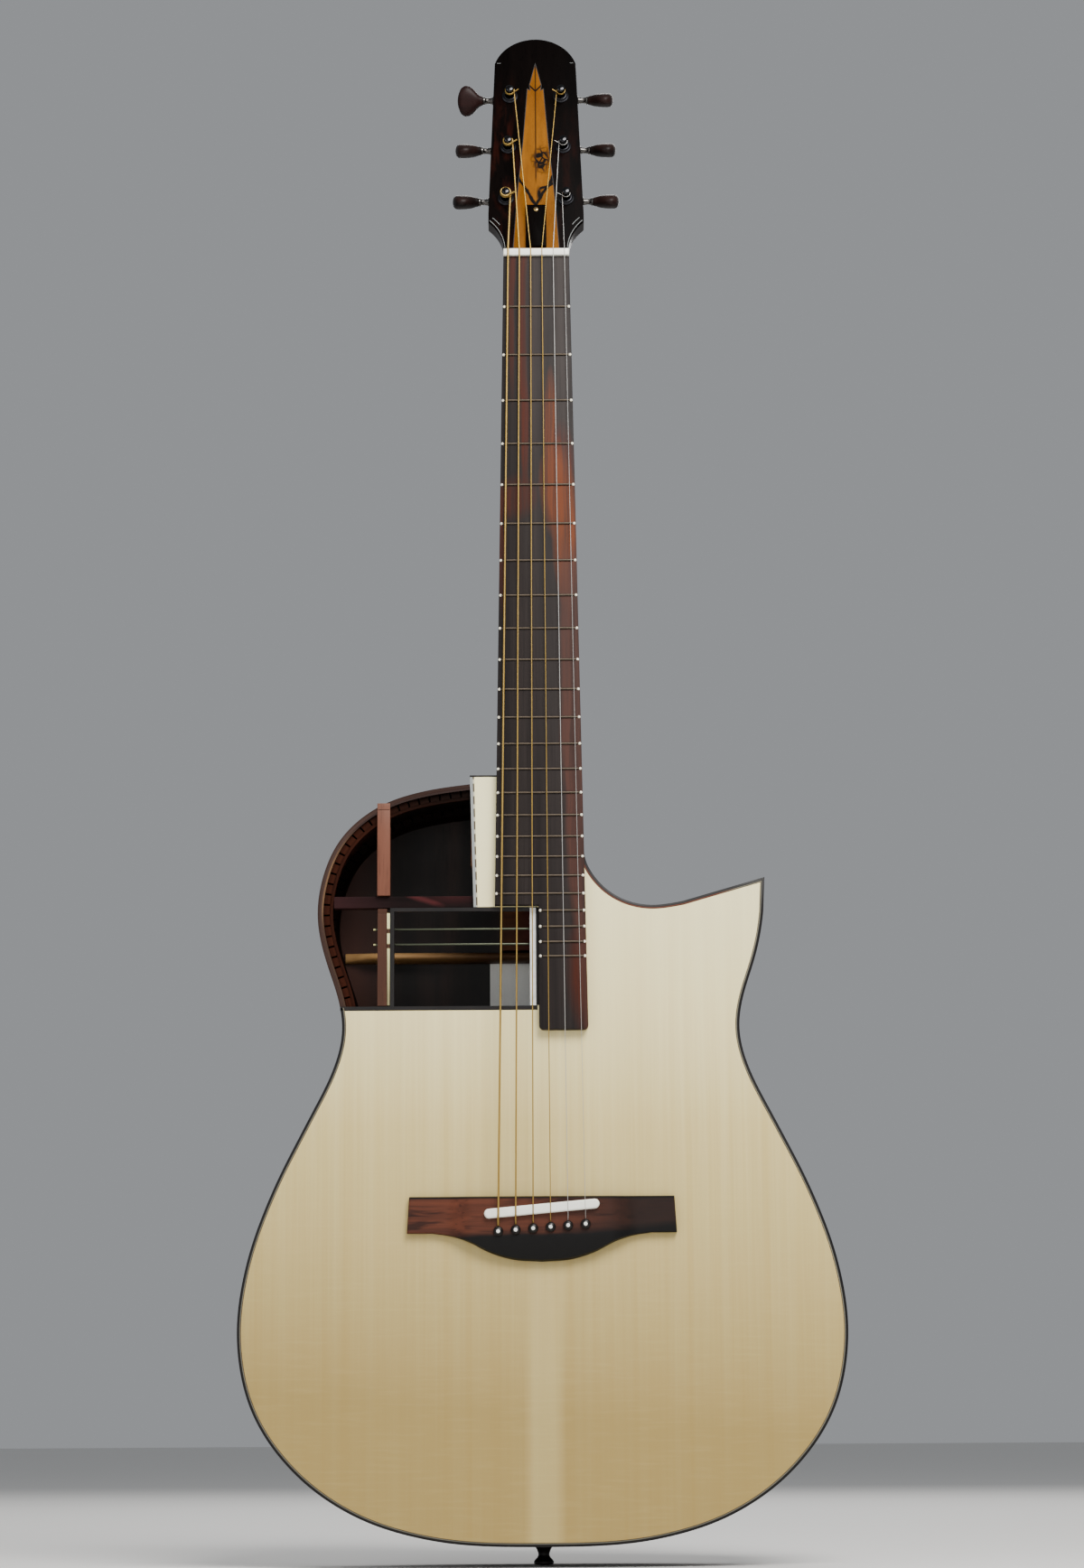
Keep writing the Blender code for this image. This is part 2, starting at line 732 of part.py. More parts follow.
def round_bar(name, start, length, radius, look, sides=8):
    """A cylinder from the start along the object's own z."""
    profile = ((0.0, length), (radius, length), (radius, 0.0), (0.0, 0.0))
    return turned(name, profile, sides, look, start)


# Neck and headstock

def make_neck(head):
    joint = -(body_top - gap)
    rings = []
    angles = np.linspace(0.0, math.pi, 10)
    for z in (nut_thickness + gap, 0.0, 0.25 * joint, 0.5 * joint, 0.72 * joint, joint):
        share = min(1.0, max(0.0, z / joint))
        depth = neck_depth_at_nut + (neck_depth_at_heel - neck_depth_at_nut) * share
        half = board_half_width(max(0.0, -z))
        curve = [(-half * math.copysign(abs(math.cos(a)) ** 0.8, math.cos(a)), depth * math.sin(a) ** 0.85, z)
                 for a in angles]
        rings.append(curve)
    neck = loft("neck", rings, mahogany)
    heel_rings = []
    sections = (*heel_profile, (depth_at_neck - gap, heel_end_half_width, heel_end_reach))
    for depth, half, reach in sections:
        heel_rings.append([(-half * math.cos(a), depth, joint + reach * math.sin(a) ** 0.8)
                           for a in np.linspace(0.0, math.pi, 9)])
    join(neck, loft("heel", heel_rings))
    join(neck, flat_shape("headstock", [head_loop()], head_step, head_thickness, None, head))
    join(neck, boxes("tenon", [((-tenon_half_width, neck_depth_at_nut / 3, -(body_top + tenon_length)),
                                (tenon_half_width, tenon_depth, joint + 0.010))]))
    channel = boxes("rod_channel", [((-truss_radius - 2 * gap, -0.001, -truss_low - gap),
                                     (truss_radius + 2 * gap, rod_axis_depth + truss_radius + gap, nut_thickness + 0.004))])
    cut(neck, channel, nut_pocket, sleeve_holes, screw_hole)
    smooth_round(neck)


def head_loop():
    """Half: the wing's cove, the straight edge and the domed top. Then its mirror image."""
    neck_half = nut_half_width - gap
    turns = np.linspace(math.pi / 2, 0.0, 6)
    cove = [(wing_half_width - (wing_half_width - neck_half) * math.sin(a), wing_low * math.cos(a))
            for a in turns]
    rise = head_length - head_corner
    radius = (head_top_half_width ** 2 + rise ** 2) / (2 * rise)
    reach = math.asin(min(1.0, head_top_half_width / radius))
    dome = [(radius * math.sin(a), head_length - radius + radius * math.cos(a))
            for a in np.linspace(reach, 0.0, 8)]
    half = cove + [(wing_half_width, wing_high)] + dome
    return [(-x, z) for x, z in half[:-1]] + half[::-1]


def make_head_pieces(head):
    front = -gap - head_plate_thickness
    plate = flat_shape("headplate", [[(x, max(z, gap)) for x, z in head_loop()]], front, -gap, rosewood, head)
    inlay_loop = [(-x, z) for x, z in inlay_profile] + [(x, z) for x, z in inlay_profile[-2::-1]]
    space = offset_loop(inlay_loop, -gap)
    space[0] += (space[0] - space[1]) / 8
    space[-1] += (space[-1] - space[-2]) / 8
    cut(plate, flat_shape("inlay_space", [space], front - 0.001, 0.0, None, head), sleeve_holes)
    inlay = flat_shape("headstock_inlay", [inlay_loop], front, -gap, spalted, head)
    cut(inlay, nut_pocket, screw_hole)
    back = front - gap
    cover_loop = [(-cover_half_width, cover_low), (-cover_half_width, cover_high),
                  (cover_half_width, cover_high), (cover_half_width, cover_low)]
    cover = flat_shape("truss_rod_cover", [cover_loop], back - cover_thickness, back, ebony, head)
    cut(cover, screw_hole)
    top = cover_thickness - back + gap
    profile = ((0.0, top + 0.0008), (cover_screw_head * 0.8, top + 0.0007), (cover_screw_head, top + 0.0002),
               (cover_screw_head, top), (cover_screw_radius, top), (cover_screw_radius, -0.006), (0.0, -0.007))
    turned("cover_screw", profile, 10, brass, (0, 0, cover_screw_height), (math.pi / 2, 0, 0), head)


def make_truss_rod():
    shoulder = nut_thickness + 0.0011
    tip = shoulder + truss_nut_length + 0.002
    profile = ((0.0, tip), (truss_tip_radius, tip), (truss_tip_radius, shoulder), (truss_radius, shoulder),
               (truss_radius, -truss_low), (0.0, -truss_low))
    turned("truss_rod", profile, 10, steel, (0, rod_axis_depth, 0))
    low = shoulder + 2 * gap
    bore = truss_tip_radius + gap
    ring = ((truss_nut_radius, low + truss_nut_length), (truss_nut_radius, low), (bore, low),
            (bore, low + truss_nut_length))
    turned("truss_rod_nut", ring, 6, brass, (0, rod_axis_depth, 0), ring=True)


# Fretboard and nut

def make_fretboard():
    end, last = board_end_down(), down_of_fret(fret_count) + extension_past_fret
    r = extension_corner
    treble = board_half_width(last)
    corner = [(1 - math.sin(a), 1 - math.cos(a)) for a in np.linspace(0.0, math.pi / 2, 4)]
    loop = [(-board_half_width(0), -gap), (board_half_width(0), -gap)]
    loop += [(treble - r * across, -last + r * up) for up, across in corner]
    loop += [(extension_bass_edge + r * across, -last + r * up) for across, up in corner]
    loop += [(extension_bass_edge, -end), (-board_half_width(end), -end)]
    board = flat_shape("fretboard", [loop], -gap - board_thickness, -gap, ebony)
    front = -gap - board_thickness
    corners = []
    for number in range(1, fret_count + 1):
        down = down_of_fret(number)
        half = board_half_width(down) - fret_inset
        bass = -half if number <= full_width_frets else extension_bass_edge + fret_inset
        corners.append(((bass, front - fret_height, -down - fret_width / 2),
                        (half, front + fret_height / 2, -down + fret_width / 2)))
    join(board, boxes("frets", corners))


fret_top = gap + board_thickness + fret_height
string_floor = fret_top + string_over_first_fret


def make_nut():
    top = fret_top + nut_over_frets
    nut = boxes("nut", [((-nut_half_width, -top, 0.0), (nut_half_width, -gap, nut_thickness))], bone)
    slots = []
    for place, gauge in zip(nut_places(), string_gauges):
        half = gauge / 2 + gap
        slots.append(((place - half, -top - 0.001, -0.001), (place + half, -string_floor + gap, nut_thickness + 0.001)))
    cut(nut, boxes("string_grooves", slots))


def nut_places():
    return [(number - (string_count - 1) / 2) * nut_spacing for number in range(string_count)]


def pin_places():
    """x and z of the six pins, bass to treble."""
    places = []
    for number in range(string_count):
        x = (number - (string_count - 1) / 2) * pin_spacing
        places.append((x, -(saddle_down(0) + pin_row_past_saddle + pin_slant * x)))
    return places


def saddle_down(x):
    return scale_length + saddle_past_scale + saddle_slant * x


# Bridge

bridge_top = -(saddle_down(0) - bridge_above_saddle)


def bridge_loop():
    half = [(bridge_top_half_width, 0.0), (bridge_half_width, bridge_wing_depth)]
    half += [tuple(point) for point in smooth_line(belly_curve, 0.02)]
    right = [(x, bridge_top - below) for x, below in half]
    return right + [(-x, z) for x, z in right[-2::-1]]


def make_bridge():
    thin, thick = bridge_wing_thickness + gap, bridge_thickness + gap
    wide = bridge_half_width + 0.002
    slope_end = bridge_centre_half_width + 0.016
    profile = [(-wide, gap), (-wide, thin), (-slope_end, thin), (-bridge_centre_half_width, thick),
               (bridge_centre_half_width, thick), (slope_end, thin), (wide, thin), (wide, gap)]
    low, high = bridge_top - 0.05, bridge_top + 0.002
    rings = [[(x, -depth, z) for x, depth in profile] for z in (low, high)]
    bridge = loft("bridge", rings, red_rosewood)
    keep_inside(bridge, flat_shape("bridge_outline", [bridge_loop()], -0.02, 0.01))
    cut(bridge, saddle_shape("saddle_slot", gap, -bridge_thickness - 0.002, -saddle_slot_floor), pin_holes,
        string_slots)
    saddle_shape("saddle", 0.0, -gap - saddle_height, -saddle_slot_floor - gap, bone)


def saddle_shape(name, margin, front, back, look=None):
    """A slanted bar with round ends."""
    radius = saddle_width / 2 + margin
    slant = math.atan(saddle_slant)
    half = saddle_half_length - saddle_width / 2
    loop = []
    for side in (1, -1):
        for a in np.linspace(math.pi / 2, -math.pi / 2, 6):
            x, z = side * (half + radius * math.cos(a)), side * radius * math.sin(a)
            loop.append((x * math.cos(slant) + z * math.sin(slant),
                         -saddle_down(0) - x * math.sin(slant) + z * math.cos(slant)))
    return flat_shape(name, [loop], front, back, look)


def make_pins():
    top = gap + bridge_thickness
    tail = -(soundboard_thickness + bridge_plate_thickness + 2 * gap)
    head = top + 0.0014
    for number, (x, z) in enumerate(pin_places(), 1):
        profile = ((0.0, head + 0.0024), (pin_head_radius * 0.6, head + 0.0021), (pin_head_radius, head + 0.0010),
                   (pin_head_radius, head), (pin_radius, head), (pin_radius, top), (pin_radius * 0.87, tail),
                   (0.0, tail))
        turned(f"bridge_pin_{number}", profile, 8, ebony, (x, 0, z), (math.pi / 2, 0, 0))


def string_drop(gauge):
    """How far in front of its pin's axis a string goes down."""
    return pin_radius + gap + gauge / 2


# Tuning machines

def tuner_sites():
    """Name, side and place of each machine, bass strings first, in string order."""
    low, middle, high = post_places
    return (("1", -1, low), ("2", -1, middle), ("3", -1, high), ("4", 1, high), ("5", 1, middle), ("6", 1, low))


def make_tuner(name, side, place, face_on, head):
    x, height = side * place[0], place[1]
    worm_y = head_thickness + worm_behind_head
    make_housing(name, side, x, height, worm_y, head)
    plate_front = gap + head_plate_thickness
    neck_high = plate_front + gap + flange_thickness + gap
    top = plate_front + post_above_plate
    wheel_back = worm_y + wheel_thickness / 2
    profile = (
        (0.0, top), (post_radius * 0.8, top), (post_radius, top - 0.0007), (post_radius, top - 0.0016),
        (post_waist, top - 0.0022), (post_waist, neck_high + 0.0022), (post_radius, neck_high + 0.0010),
        (post_radius, -wheel_back - 0.0009), (0.0, -wheel_back - 0.0009),
    )
    post = turned(f"tuner_post_{name}", profile, 10, steel, (x, 0, height), (math.pi / 2, 0, 0), head)
    teeth = []
    for step in range(2 * wheel_teeth):
        angle = math.pi * step / wheel_teeth
        radius = wheel_tip_radius if step % 2 else wheel_root_radius
        teeth.append((x + radius * math.sin(angle), height + radius * math.cos(angle)))
    join(post, flat_shape(f"wheel_{name}", [teeth], worm_y - wheel_thickness / 2, wheel_back, None, head))
    make_knob(name, side, x, height + worm_distance, worm_y, face_on, head)


def make_housing(name, side, x, height, worm_y, head):
    low = head_thickness + gap
    high = low + mount_plate_thickness
    bore = post_radius + gap
    front = gap + head_plate_thickness + gap
    ring = (
        (flange_radius, front + flange_thickness), (flange_radius, front), (sleeve_radius, front),
        (sleeve_radius, -high - gap), (bore, -high - gap), (bore, front + flange_thickness),
    )
    sleeve = turned(f"sleeve_{name}", ring, 10, None, (x, 0, height), (math.pi / 2, 0, 0), head, ring=True)
    worm_z = height + worm_distance
    half = mount_plate_half_width
    plate = boxes(f"tuner_housing_{name}", [
        ((x - half, low, height - half), (x + half, high, worm_z + ear_half_height + 0.0025)),
    ], steel, head)
    bite = (bore + sleeve_radius) / 2
    cut(plate, cylinders(f"plate_bore_{name}", [(x, height)], bite, low - 0.001, high + 0.001, 8, head))
    join(plate, sleeve)
    for end in (-1, 1):
        inner, outer = sorted((x + end * ear_inside, x + end * (ear_inside + ear_thickness)))
        ear = boxes(f"ear_{name}_{end}", [
            ((inner, high - mount_plate_thickness / 2, worm_z - ear_half_height),
             (outer, worm_y + ear_half_height, worm_z + ear_half_height)),
        ], None, head)
        join(plate, ear)
    bearing = turned(
        f"bearing_bore_{name}",
        ((0.0, 0.012), (journal_radius + gap, 0.012), (journal_radius + gap, -0.012), (0.0, -0.012)),
        10, None, (x, worm_y, worm_z), (0, math.pi / 2, 0), head,
    )
    cut(plate, bearing)


def make_knob(name, side, x, height, depth, face_on, head):
    """Inner cap, worm between its ears, collar, shaft and button, as one skin along the shaft.

    Each ring is an ellipse turned by the button's roll, which leaves the round ones as they are.
    """
    pitch = math.pi * (wheel_tip_radius + wheel_root_radius) / wheel_teeth
    turns = np.arange(knob_sides) * 2 * math.pi / knob_sides
    ear_out = ear_inside + ear_thickness + gap
    stations = [(-ear_out - 0.0013, 0.0024, 0.0024), (-ear_out, 0.0024, 0.0024)]
    stations += [(-ear_out, journal_radius, journal_radius)]
    steps = int(round(2 * worm_turns))
    thread = [number * pitch / 4 for number in range(-steps, steps + 1)]
    worm = [(u, None, None) for u in thread]
    start = thread[0] - pitch / 8
    stations += [(start, journal_radius, journal_radius)] + worm + [(-start, journal_radius, journal_radius)]
    stations += [(ear_out, journal_radius, journal_radius), (ear_out, collar_radius, collar_radius)]
    stations += [(0.0132, collar_radius, collar_radius), (0.0152, shaft_radius, shaft_radius)]
    stations += [(button_start - 0.0013, shaft_radius, shaft_radius)]
    stations += [(button_start - 0.0011, 0.0028, 0.0028)]
    stations += [(button_start + along, tall, thick) for along, tall, thick in button_profile]
    rings = []
    for u, tall, thick in stations:
        if tall is None:
            phase = u / pitch - turns / (2 * math.pi)
            wave = np.abs(2 * (phase - np.floor(phase)) - 1)
            radius = worm_root_radius + (worm_tip_radius - worm_root_radius) * wave
            tall, thick = radius, radius
        elif not face_on:
            tall, thick = thick, tall
        along = np.full(knob_sides, x + side * u)
        wide = thick * np.sin(turns - button_roll)
        high = tall * np.cos(turns - button_roll)
        back = depth + wide * math.cos(button_roll) + high * math.sin(button_roll)
        up = height + wide * math.sin(button_roll) - high * math.cos(button_roll)
        rings.append(np.stack([along, back, up], axis=1))
    knob = loft(f"tuner_knob_{name}", rings, ebony, head)
    move_origin(knob, (x, depth, height))


# Strings

def tangent_angle(start, centre, radius, side):
    """Angle, at the centre, where a line from the start touches the inner side of a post."""
    away = np.array(start) - np.array(centre)
    return math.atan2(away[1], away[0]) - side * math.acos(radius / np.linalg.norm(away))


def make_string(number, site, gauge, nut_x, pin, head_place):
    name, side, place = site
    radius = gauge / 2
    pin_x, pin_z = pin
    drop_z = pin_z + string_drop(gauge)
    bridge_front = gap + bridge_thickness
    ball_y = soundboard_thickness + bridge_plate_thickness + 3 * gap + ball_radius
    saddle_z = -saddle_down(pin_x)
    saddle_y = -(gap + saddle_height + gap + radius)
    over_edge = saddle_z - saddle_width / 2 - 2 * gap
    nut_y = -(string_floor + radius)
    path = [
        (pin_x, ball_y, drop_z), (pin_x, -bridge_front + 0.0006, drop_z),
        (pin_x, -bridge_front - 0.0002, drop_z + 0.0002), (pin_x, -bridge_front - 0.0008, drop_z + 0.0011),
        (pin_x, saddle_y, over_edge), (nut_x, nut_y, 0.0), (nut_x, nut_y, nut_thickness),
    ]
    centre = np.array([side * place[0], place[1]])
    turn_radius = post_waist + gap + radius
    to_head = head_place.inverted()
    start = to_head @ Vector(path[-1])
    angle = tangent_angle((start.x, start.z), centre, turn_radius, side)
    pitch = gauge + 0.00045
    zone_middle = -(gap + head_plate_thickness + post_above_plate / 2 + flange_thickness / 2 + 0.0002)
    first_y = zone_middle + winding_turns * pitch / 2
    count = winding_turns * winding_points
    steps = np.arange(count + 1) / winding_points
    turned_by = angle - side * 2 * math.pi * steps
    coil = np.stack([centre[0] + turn_radius * np.cos(turned_by), first_y - pitch * steps,
                     centre[1] + turn_radius * np.sin(turned_by)], axis=1)
    path += [tuple(head_place @ Vector(point)) for point in coil]
    print(f"string {number}: least gap in its winding {1000 * least_gap(coil, gauge):.2f} mm")
    curve = bpy.data.curves.new(f"string_{number}", "CURVE")
    curve.dimensions = "3D"
    curve.bevel_depth = radius
    curve.bevel_resolution = 1
    curve.use_fill_caps = True
    spline = curve.splines.new("POLY")
    spline.points.add(len(path) - 1)
    for point, co in zip(spline.points, path):
        point.co = (*co, 1.0)
    look = bronze if number <= 4 else steel
    made = add_object(f"string_{number}", mesh_of_curve(curve), look)
    ball = bmesh.new()
    bmesh.ops.create_icosphere(ball, subdivisions=1, radius=ball_radius,
                               matrix=Matrix.Translation((pin_x, ball_y, drop_z)))
    mesh = bpy.data.meshes.new(f"ball_{number}")
    ball.to_mesh(mesh)
    ball.free()
    join(made, add_object(f"ball_{number}", mesh))


def least_gap(coil, gauge):
    """Nearest distance between turns of the winding, less the string's own thickness."""
    apart = np.linalg.norm(coil[:, None] - coil[None], axis=2)
    rows = np.arange(len(coil))
    far = np.abs(rows[:, None] - rows[None]) > winding_points // 2
    return apart[far].min() - gauge


# Assembly

clear_scene()
head_frame = bpy.data.objects.new("headstock_frame", None)
collection.objects.link(head_frame)
head_frame.location = (0, 0, nut_thickness + gap)
head_frame.rotation_euler = (-head_angle, 0, 0)
bpy.context.view_layer.update()
head_matrix = head_frame.matrix_world.copy()

pin_holes = cylinders("pin_holes", pin_places(), pin_hole_radius, -0.02, 0.03, 8)
string_slots = boxes("string_slots", [
    ((x - string_gauges[0] / 2 - gap, -0.02, z), (x + string_gauges[0] / 2 + gap, 0.03,
     z + string_drop(string_gauges[0]) + string_gauges[0] / 2 + gap))
    for x, z in pin_places()
])
end_pin_hole = cylinders("end_pin_hole", [(0.0, end_pin_depth)], end_pin_radius + 2 * gap,
                         -(body_top + body_length + 0.01), -(body_top + body_length - tail_block_length - 0.01),
                         along="Z")
rod_holes = boxes("rod_holes", [
    ((rod_bass_end, rod_depth - rod_radius - gap, -down_of_fret(number) - rod_radius - gap),
     (window_treble_edge - gap - pearl_width / 2 + gap, rod_depth + rod_radius + gap,
      -down_of_fret(number) + rod_radius + gap))
    for number in rod_frets
])
sleeve_holes = cylinders(
    "sleeve_holes", [(side * place[0], place[1]) for place in post_places for side in (-1, 1)],
    sleeve_radius + gap, -0.01, head_thickness + 0.01, 10, head_frame,
)
screw_hole = cylinders("screw_hole", [(0.0, cover_screw_height)], cover_screw_radius + gap, -0.01, 0.008, 8,
                       parent=head_frame)
nut_pocket = boxes("nut_pocket", [(
    (-pocket_half_width, -0.003, nut_thickness + 0.0016),
    (pocket_half_width, rod_axis_depth + truss_nut_radius + 2 * gap, nut_thickness + truss_nut_length + 0.0075),
)])

make_body()
make_lattice()
make_neck(head_frame)
make_head_pieces(head_frame)
make_truss_rod()
make_fretboard()
make_nut()
make_bridge()
make_pins()
for site, pin, nut_x, gauge in zip(tuner_sites(), pin_places(), nut_places(), string_gauges):
    make_tuner(*site, site[0] == "3", head_frame)
    make_string(int(site[0]), site, gauge, nut_x, pin, head_matrix)
bpy.context.view_layer.update()
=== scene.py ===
import math

import bpy
import numpy as np
from mathutils import Matrix, Vector


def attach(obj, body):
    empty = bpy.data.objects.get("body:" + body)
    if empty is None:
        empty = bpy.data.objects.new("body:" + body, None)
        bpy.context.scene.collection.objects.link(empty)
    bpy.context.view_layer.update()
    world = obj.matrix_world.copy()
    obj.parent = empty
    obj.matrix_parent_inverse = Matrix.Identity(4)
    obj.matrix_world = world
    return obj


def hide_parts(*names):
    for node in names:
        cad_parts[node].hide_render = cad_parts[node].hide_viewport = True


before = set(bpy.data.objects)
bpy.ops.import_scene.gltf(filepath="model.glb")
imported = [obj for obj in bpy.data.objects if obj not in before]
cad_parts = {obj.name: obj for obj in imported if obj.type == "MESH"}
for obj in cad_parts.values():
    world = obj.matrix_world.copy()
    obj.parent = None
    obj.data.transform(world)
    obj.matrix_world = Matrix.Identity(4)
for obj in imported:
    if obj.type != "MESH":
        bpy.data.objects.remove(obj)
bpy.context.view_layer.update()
print("frame loaded")

# All lengths are in metres. z runs up the neck from the nut, y from the soundboard's face to the
# back, x to the treble side. "Down" values are distances below the nut.


# Camera, floor and lights

camera = {
    "place": (0.0018, -2.3977, -0.8024),
    "lookUp": 10.23,        # degrees
    "roll": -0.0060,        # radians
    "lens": 82.9,
}
studio = {
    "floorHeight": -0.8872,
    "floorSize": 60.0,
    "floorColour": (0.74, 0.73, 0.71),
    "floorRoughness": 0.85,
    "worldColour": (0.83, 0.86, 0.90),
    "worldStrength": 0.36,
    "lights": (             # name, place, aim, size, power, colour
        ("key", (0.55, -1.35, 0.90), (0.0, 0.0, -0.34), 1.2, 68.0, (1.0, 0.98, 0.95)),
        ("fill", (-1.9, -2.1, 0.5), (0.0, 0.0, -0.50), 1.8, 16.0, (0.96, 0.98, 1.0)),
        ("back", (0.35, 2.3, 1.2), (0.0, 0.1, -0.45), 1.8, 42.0, (1.0, 0.99, 0.97)),
        ("low", (-0.25, -2.6, -0.35), (-0.05, 0.0, -0.45), 1.2, 7.0, (1.0, 0.98, 0.95)),
    ),
}


def makeStage():
    eye = bpy.data.cameras.new("camera")
    eye.lens = camera["lens"]
    holder = bpy.data.objects.new("camera", eye)
    turn = Matrix.Rotation(math.radians(90 + camera["lookUp"]), 4, "X")
    holder.matrix_world = Matrix.Translation(camera["place"]) @ turn @ Matrix.Rotation(camera["roll"], 4, "Z")
    bpy.context.scene.collection.objects.link(holder)
    bpy.context.scene.camera = holder

    half = studio["floorSize"] / 2
    steps = np.linspace(-half, half, 5)
    x, y = np.meshgrid(steps, steps)
    floor = bpy.data.objects.new("floor", gridMesh(xyz(x, y, studio["floorHeight"]), closed=False))
    bpy.context.scene.collection.objects.link(floor)
    material, place = startMaterial("floorPaint")
    setInputs(place.tree.nodes["Principled BSDF"], {
        "Base Color": (*studio["floorColour"], 1.0), "Roughness": studio["floorRoughness"]})
    floor.data.materials.append(material)

    world = bpy.data.worlds.new("studio")
    world.use_nodes = True
    sky = world.node_tree.nodes["Background"]
    sky.inputs["Color"].default_value = (*studio["worldColour"], 1.0)
    sky.inputs["Strength"].default_value = studio["worldStrength"]
    bpy.context.scene.world = world
    for name, place, aim, size, power, colour in studio["lights"]:
        lamp = bpy.data.lights.new(name, "AREA")
        lamp.shape = "DISK"
        lamp.size = size
        lamp.energy = power
        lamp.color = colour
        made = bpy.data.objects.new(name, lamp)
        made.location = place
        made.rotation_euler = (Vector(aim) - Vector(place)).to_track_quat("-Z", "Y").to_euler()
        bpy.context.scene.collection.objects.link(made)
    print("stage ready")


# Meshes from arrays

# One quad between each four neighbours of a rows by columns array of points. A closed grid joins its
# last column to its first and has a flat face over its first and its last row. A ring joins its last
# row to its first instead. The texture map's u is the distance along the rows and v the distance
# round the columns, in metres.
def gridMesh(points, closed=True, ring=False):
    rows, cols = points.shape[:2]
    index = np.arange(rows * cols).reshape(rows, cols)
    if ring:
        index = np.concatenate([index, index[:1]])
        flat, points = points.reshape(-1, 3), np.concatenate([points, points[:1]])
    else:
        flat = points.reshape(-1, 3)
    after = np.roll(index, -1, axis=1)
    if not closed:
        index, after = index[:, :-1], after[:, :-1]
    quads = np.stack([index[:-1], after[:-1], after[1:], index[1:]], axis=-1).reshape(-1, 4)
    whole = np.concatenate([points, points[:, :1]], axis=1) if closed else points
    along, across = stepLengths(points.mean(axis=1)), stepLengths(whole[rows // 2])
    uv = np.stack(np.meshgrid(along, across, indexing="ij"), axis=-1)
    corners = np.stack([uv[:-1, :-1], uv[:-1, 1:], uv[1:, 1:], uv[1:, :-1]], axis=2).reshape(-1, 2)
    loops = [quads.ravel()]
    sizes = [np.full(len(quads), 4)]
    maps = [corners]
    if closed and not ring:
        for row, way in ((0, -1), (rows - 1, 1)):
            loops.append(np.arange(row * cols, (row + 1) * cols)[::way])
            sizes.append(np.array([cols]))
            maps.append(np.tile(uv[row, 0], (cols, 1)))
    return arraysToMesh(flat, np.concatenate(loops), np.concatenate(sizes), np.concatenate(maps))


def stepLengths(line):
    return np.append(0.0, np.cumsum(np.linalg.norm(np.diff(line, axis=0), axis=1)))


# Vertices, the corner indices of all faces in a row, and the corner count of each face. A closed
# shape whose faces point inwards, so that its signed volume is negative, is turned round.
def arraysToMesh(vertices, loops, sizes, corners=None):
    starts = np.append(0, np.cumsum(sizes)[:-1])
    if signedVolume(vertices, loops, starts, sizes) < 0:
        order = np.concatenate([np.arange(s, s + n)[::-1] for s, n in zip(starts, sizes)]) \
            if sizes.max() > 4 or sizes.min() < 4 else \
            (starts[:, None] + np.array([3, 2, 1, 0])[None]).ravel()
        loops = loops[order]
        corners = corners[order] if corners is not None else None
    mesh = bpy.data.meshes.new("piece")
    mesh.vertices.add(len(vertices))
    mesh.vertices.foreach_set("co", np.ascontiguousarray(vertices, dtype=np.float32).ravel())
    mesh.loops.add(len(loops))
    mesh.loops.foreach_set("vertex_index", np.ascontiguousarray(loops, dtype=np.int32))
    mesh.polygons.add(len(sizes))
    mesh.polygons.foreach_set("loop_start", starts.astype(np.int32))
    mesh.update(calc_edges=True)
    if corners is not None:
        layer = mesh.uv_layers.new(name="along")
        layer.data.foreach_set("uv", np.ascontiguousarray(corners, dtype=np.float32).ravel())
    mesh.validate()
    return mesh


# Sum over the faces' fans of the triple product of their corners, over six.
def signedVolume(vertices, loops, starts, sizes):
    middle = vertices.mean(axis=0)
    total = 0.0
    for size in np.unique(sizes):
        faces = loops[starts[sizes == size][:, None] + np.arange(size)[None]]
        p = vertices[faces] - middle
        fan = np.cross(p[:, 1:-1], p[:, 2:])
        total += np.einsum("ij,ikj->", p[:, 0], fan)
    return total


# One mesh from several, with their maps.
def joinMeshes(meshes):
    vertices, loops, sizes, corners, shift = [], [], [], [], 0
    for mesh in meshes:
        co = np.empty(len(mesh.vertices) * 3, np.float32)
        mesh.vertices.foreach_get("co", co)
        li = np.empty(len(mesh.loops), np.int32)
        mesh.loops.foreach_get("vertex_index", li)
        total = np.empty(len(mesh.polygons), np.int32)
        mesh.polygons.foreach_get("loop_total", total)
        uv = np.zeros(len(mesh.loops) * 2, np.float32)
        if mesh.uv_layers:
            mesh.uv_layers[0].data.foreach_get("uv", uv)
        vertices.append(co.reshape(-1, 3))
        loops.append(li + shift)
        sizes.append(total)
        corners.append(uv.reshape(-1, 2))
        shift += len(mesh.vertices)
        bpy.data.meshes.remove(mesh)
    return arraysToMesh(*[np.concatenate(held) for held in (vertices, loops, sizes, corners)])


# Points from x, y and z, each an array or one number.
def xyz(x, y, z):
    return np.stack(np.broadcast_arrays(x, y, z), axis=-1)


# A turn about an axis and then a place.
def placeAt(x, y, z, turn=math.pi / 2, axis="X"):
    return Matrix.Translation((x, y, z)) @ Matrix.Rotation(turn, 4, axis)


# Rises from 0 to 1 without a corner at either end: 3 x x - 2 x x x.
def eased(x):
    x = np.clip(x, 0.0, 1.0)
    return x * x * (3 - 2 * x)


# The profile of a domed head: radius times cosine and rise times sine of an angle.
def domeProfile(radius, rise, base, steps):
    return [(max(0.00002, radius * math.cos(t)), base + rise * math.sin(t))
            for t in np.linspace(math.pi / 2, 0.0, steps)]


# A finished piece: it rides on a body, takes a material and may stand for CAD nodes, which are hidden.
def addPiece(name, mesh, material, nodes=(), body="guitar", sharp=35.0):
    mesh.name = name
    made = bpy.data.objects.new(name, mesh)
    bpy.context.scene.collection.objects.link(made)
    mesh.materials.append(material)
    mesh.shade_smooth()
    mesh.set_sharp_from_angle(angle=math.radians(sharp))
    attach(made, body)
    if nodes:
        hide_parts(*nodes)
    return made


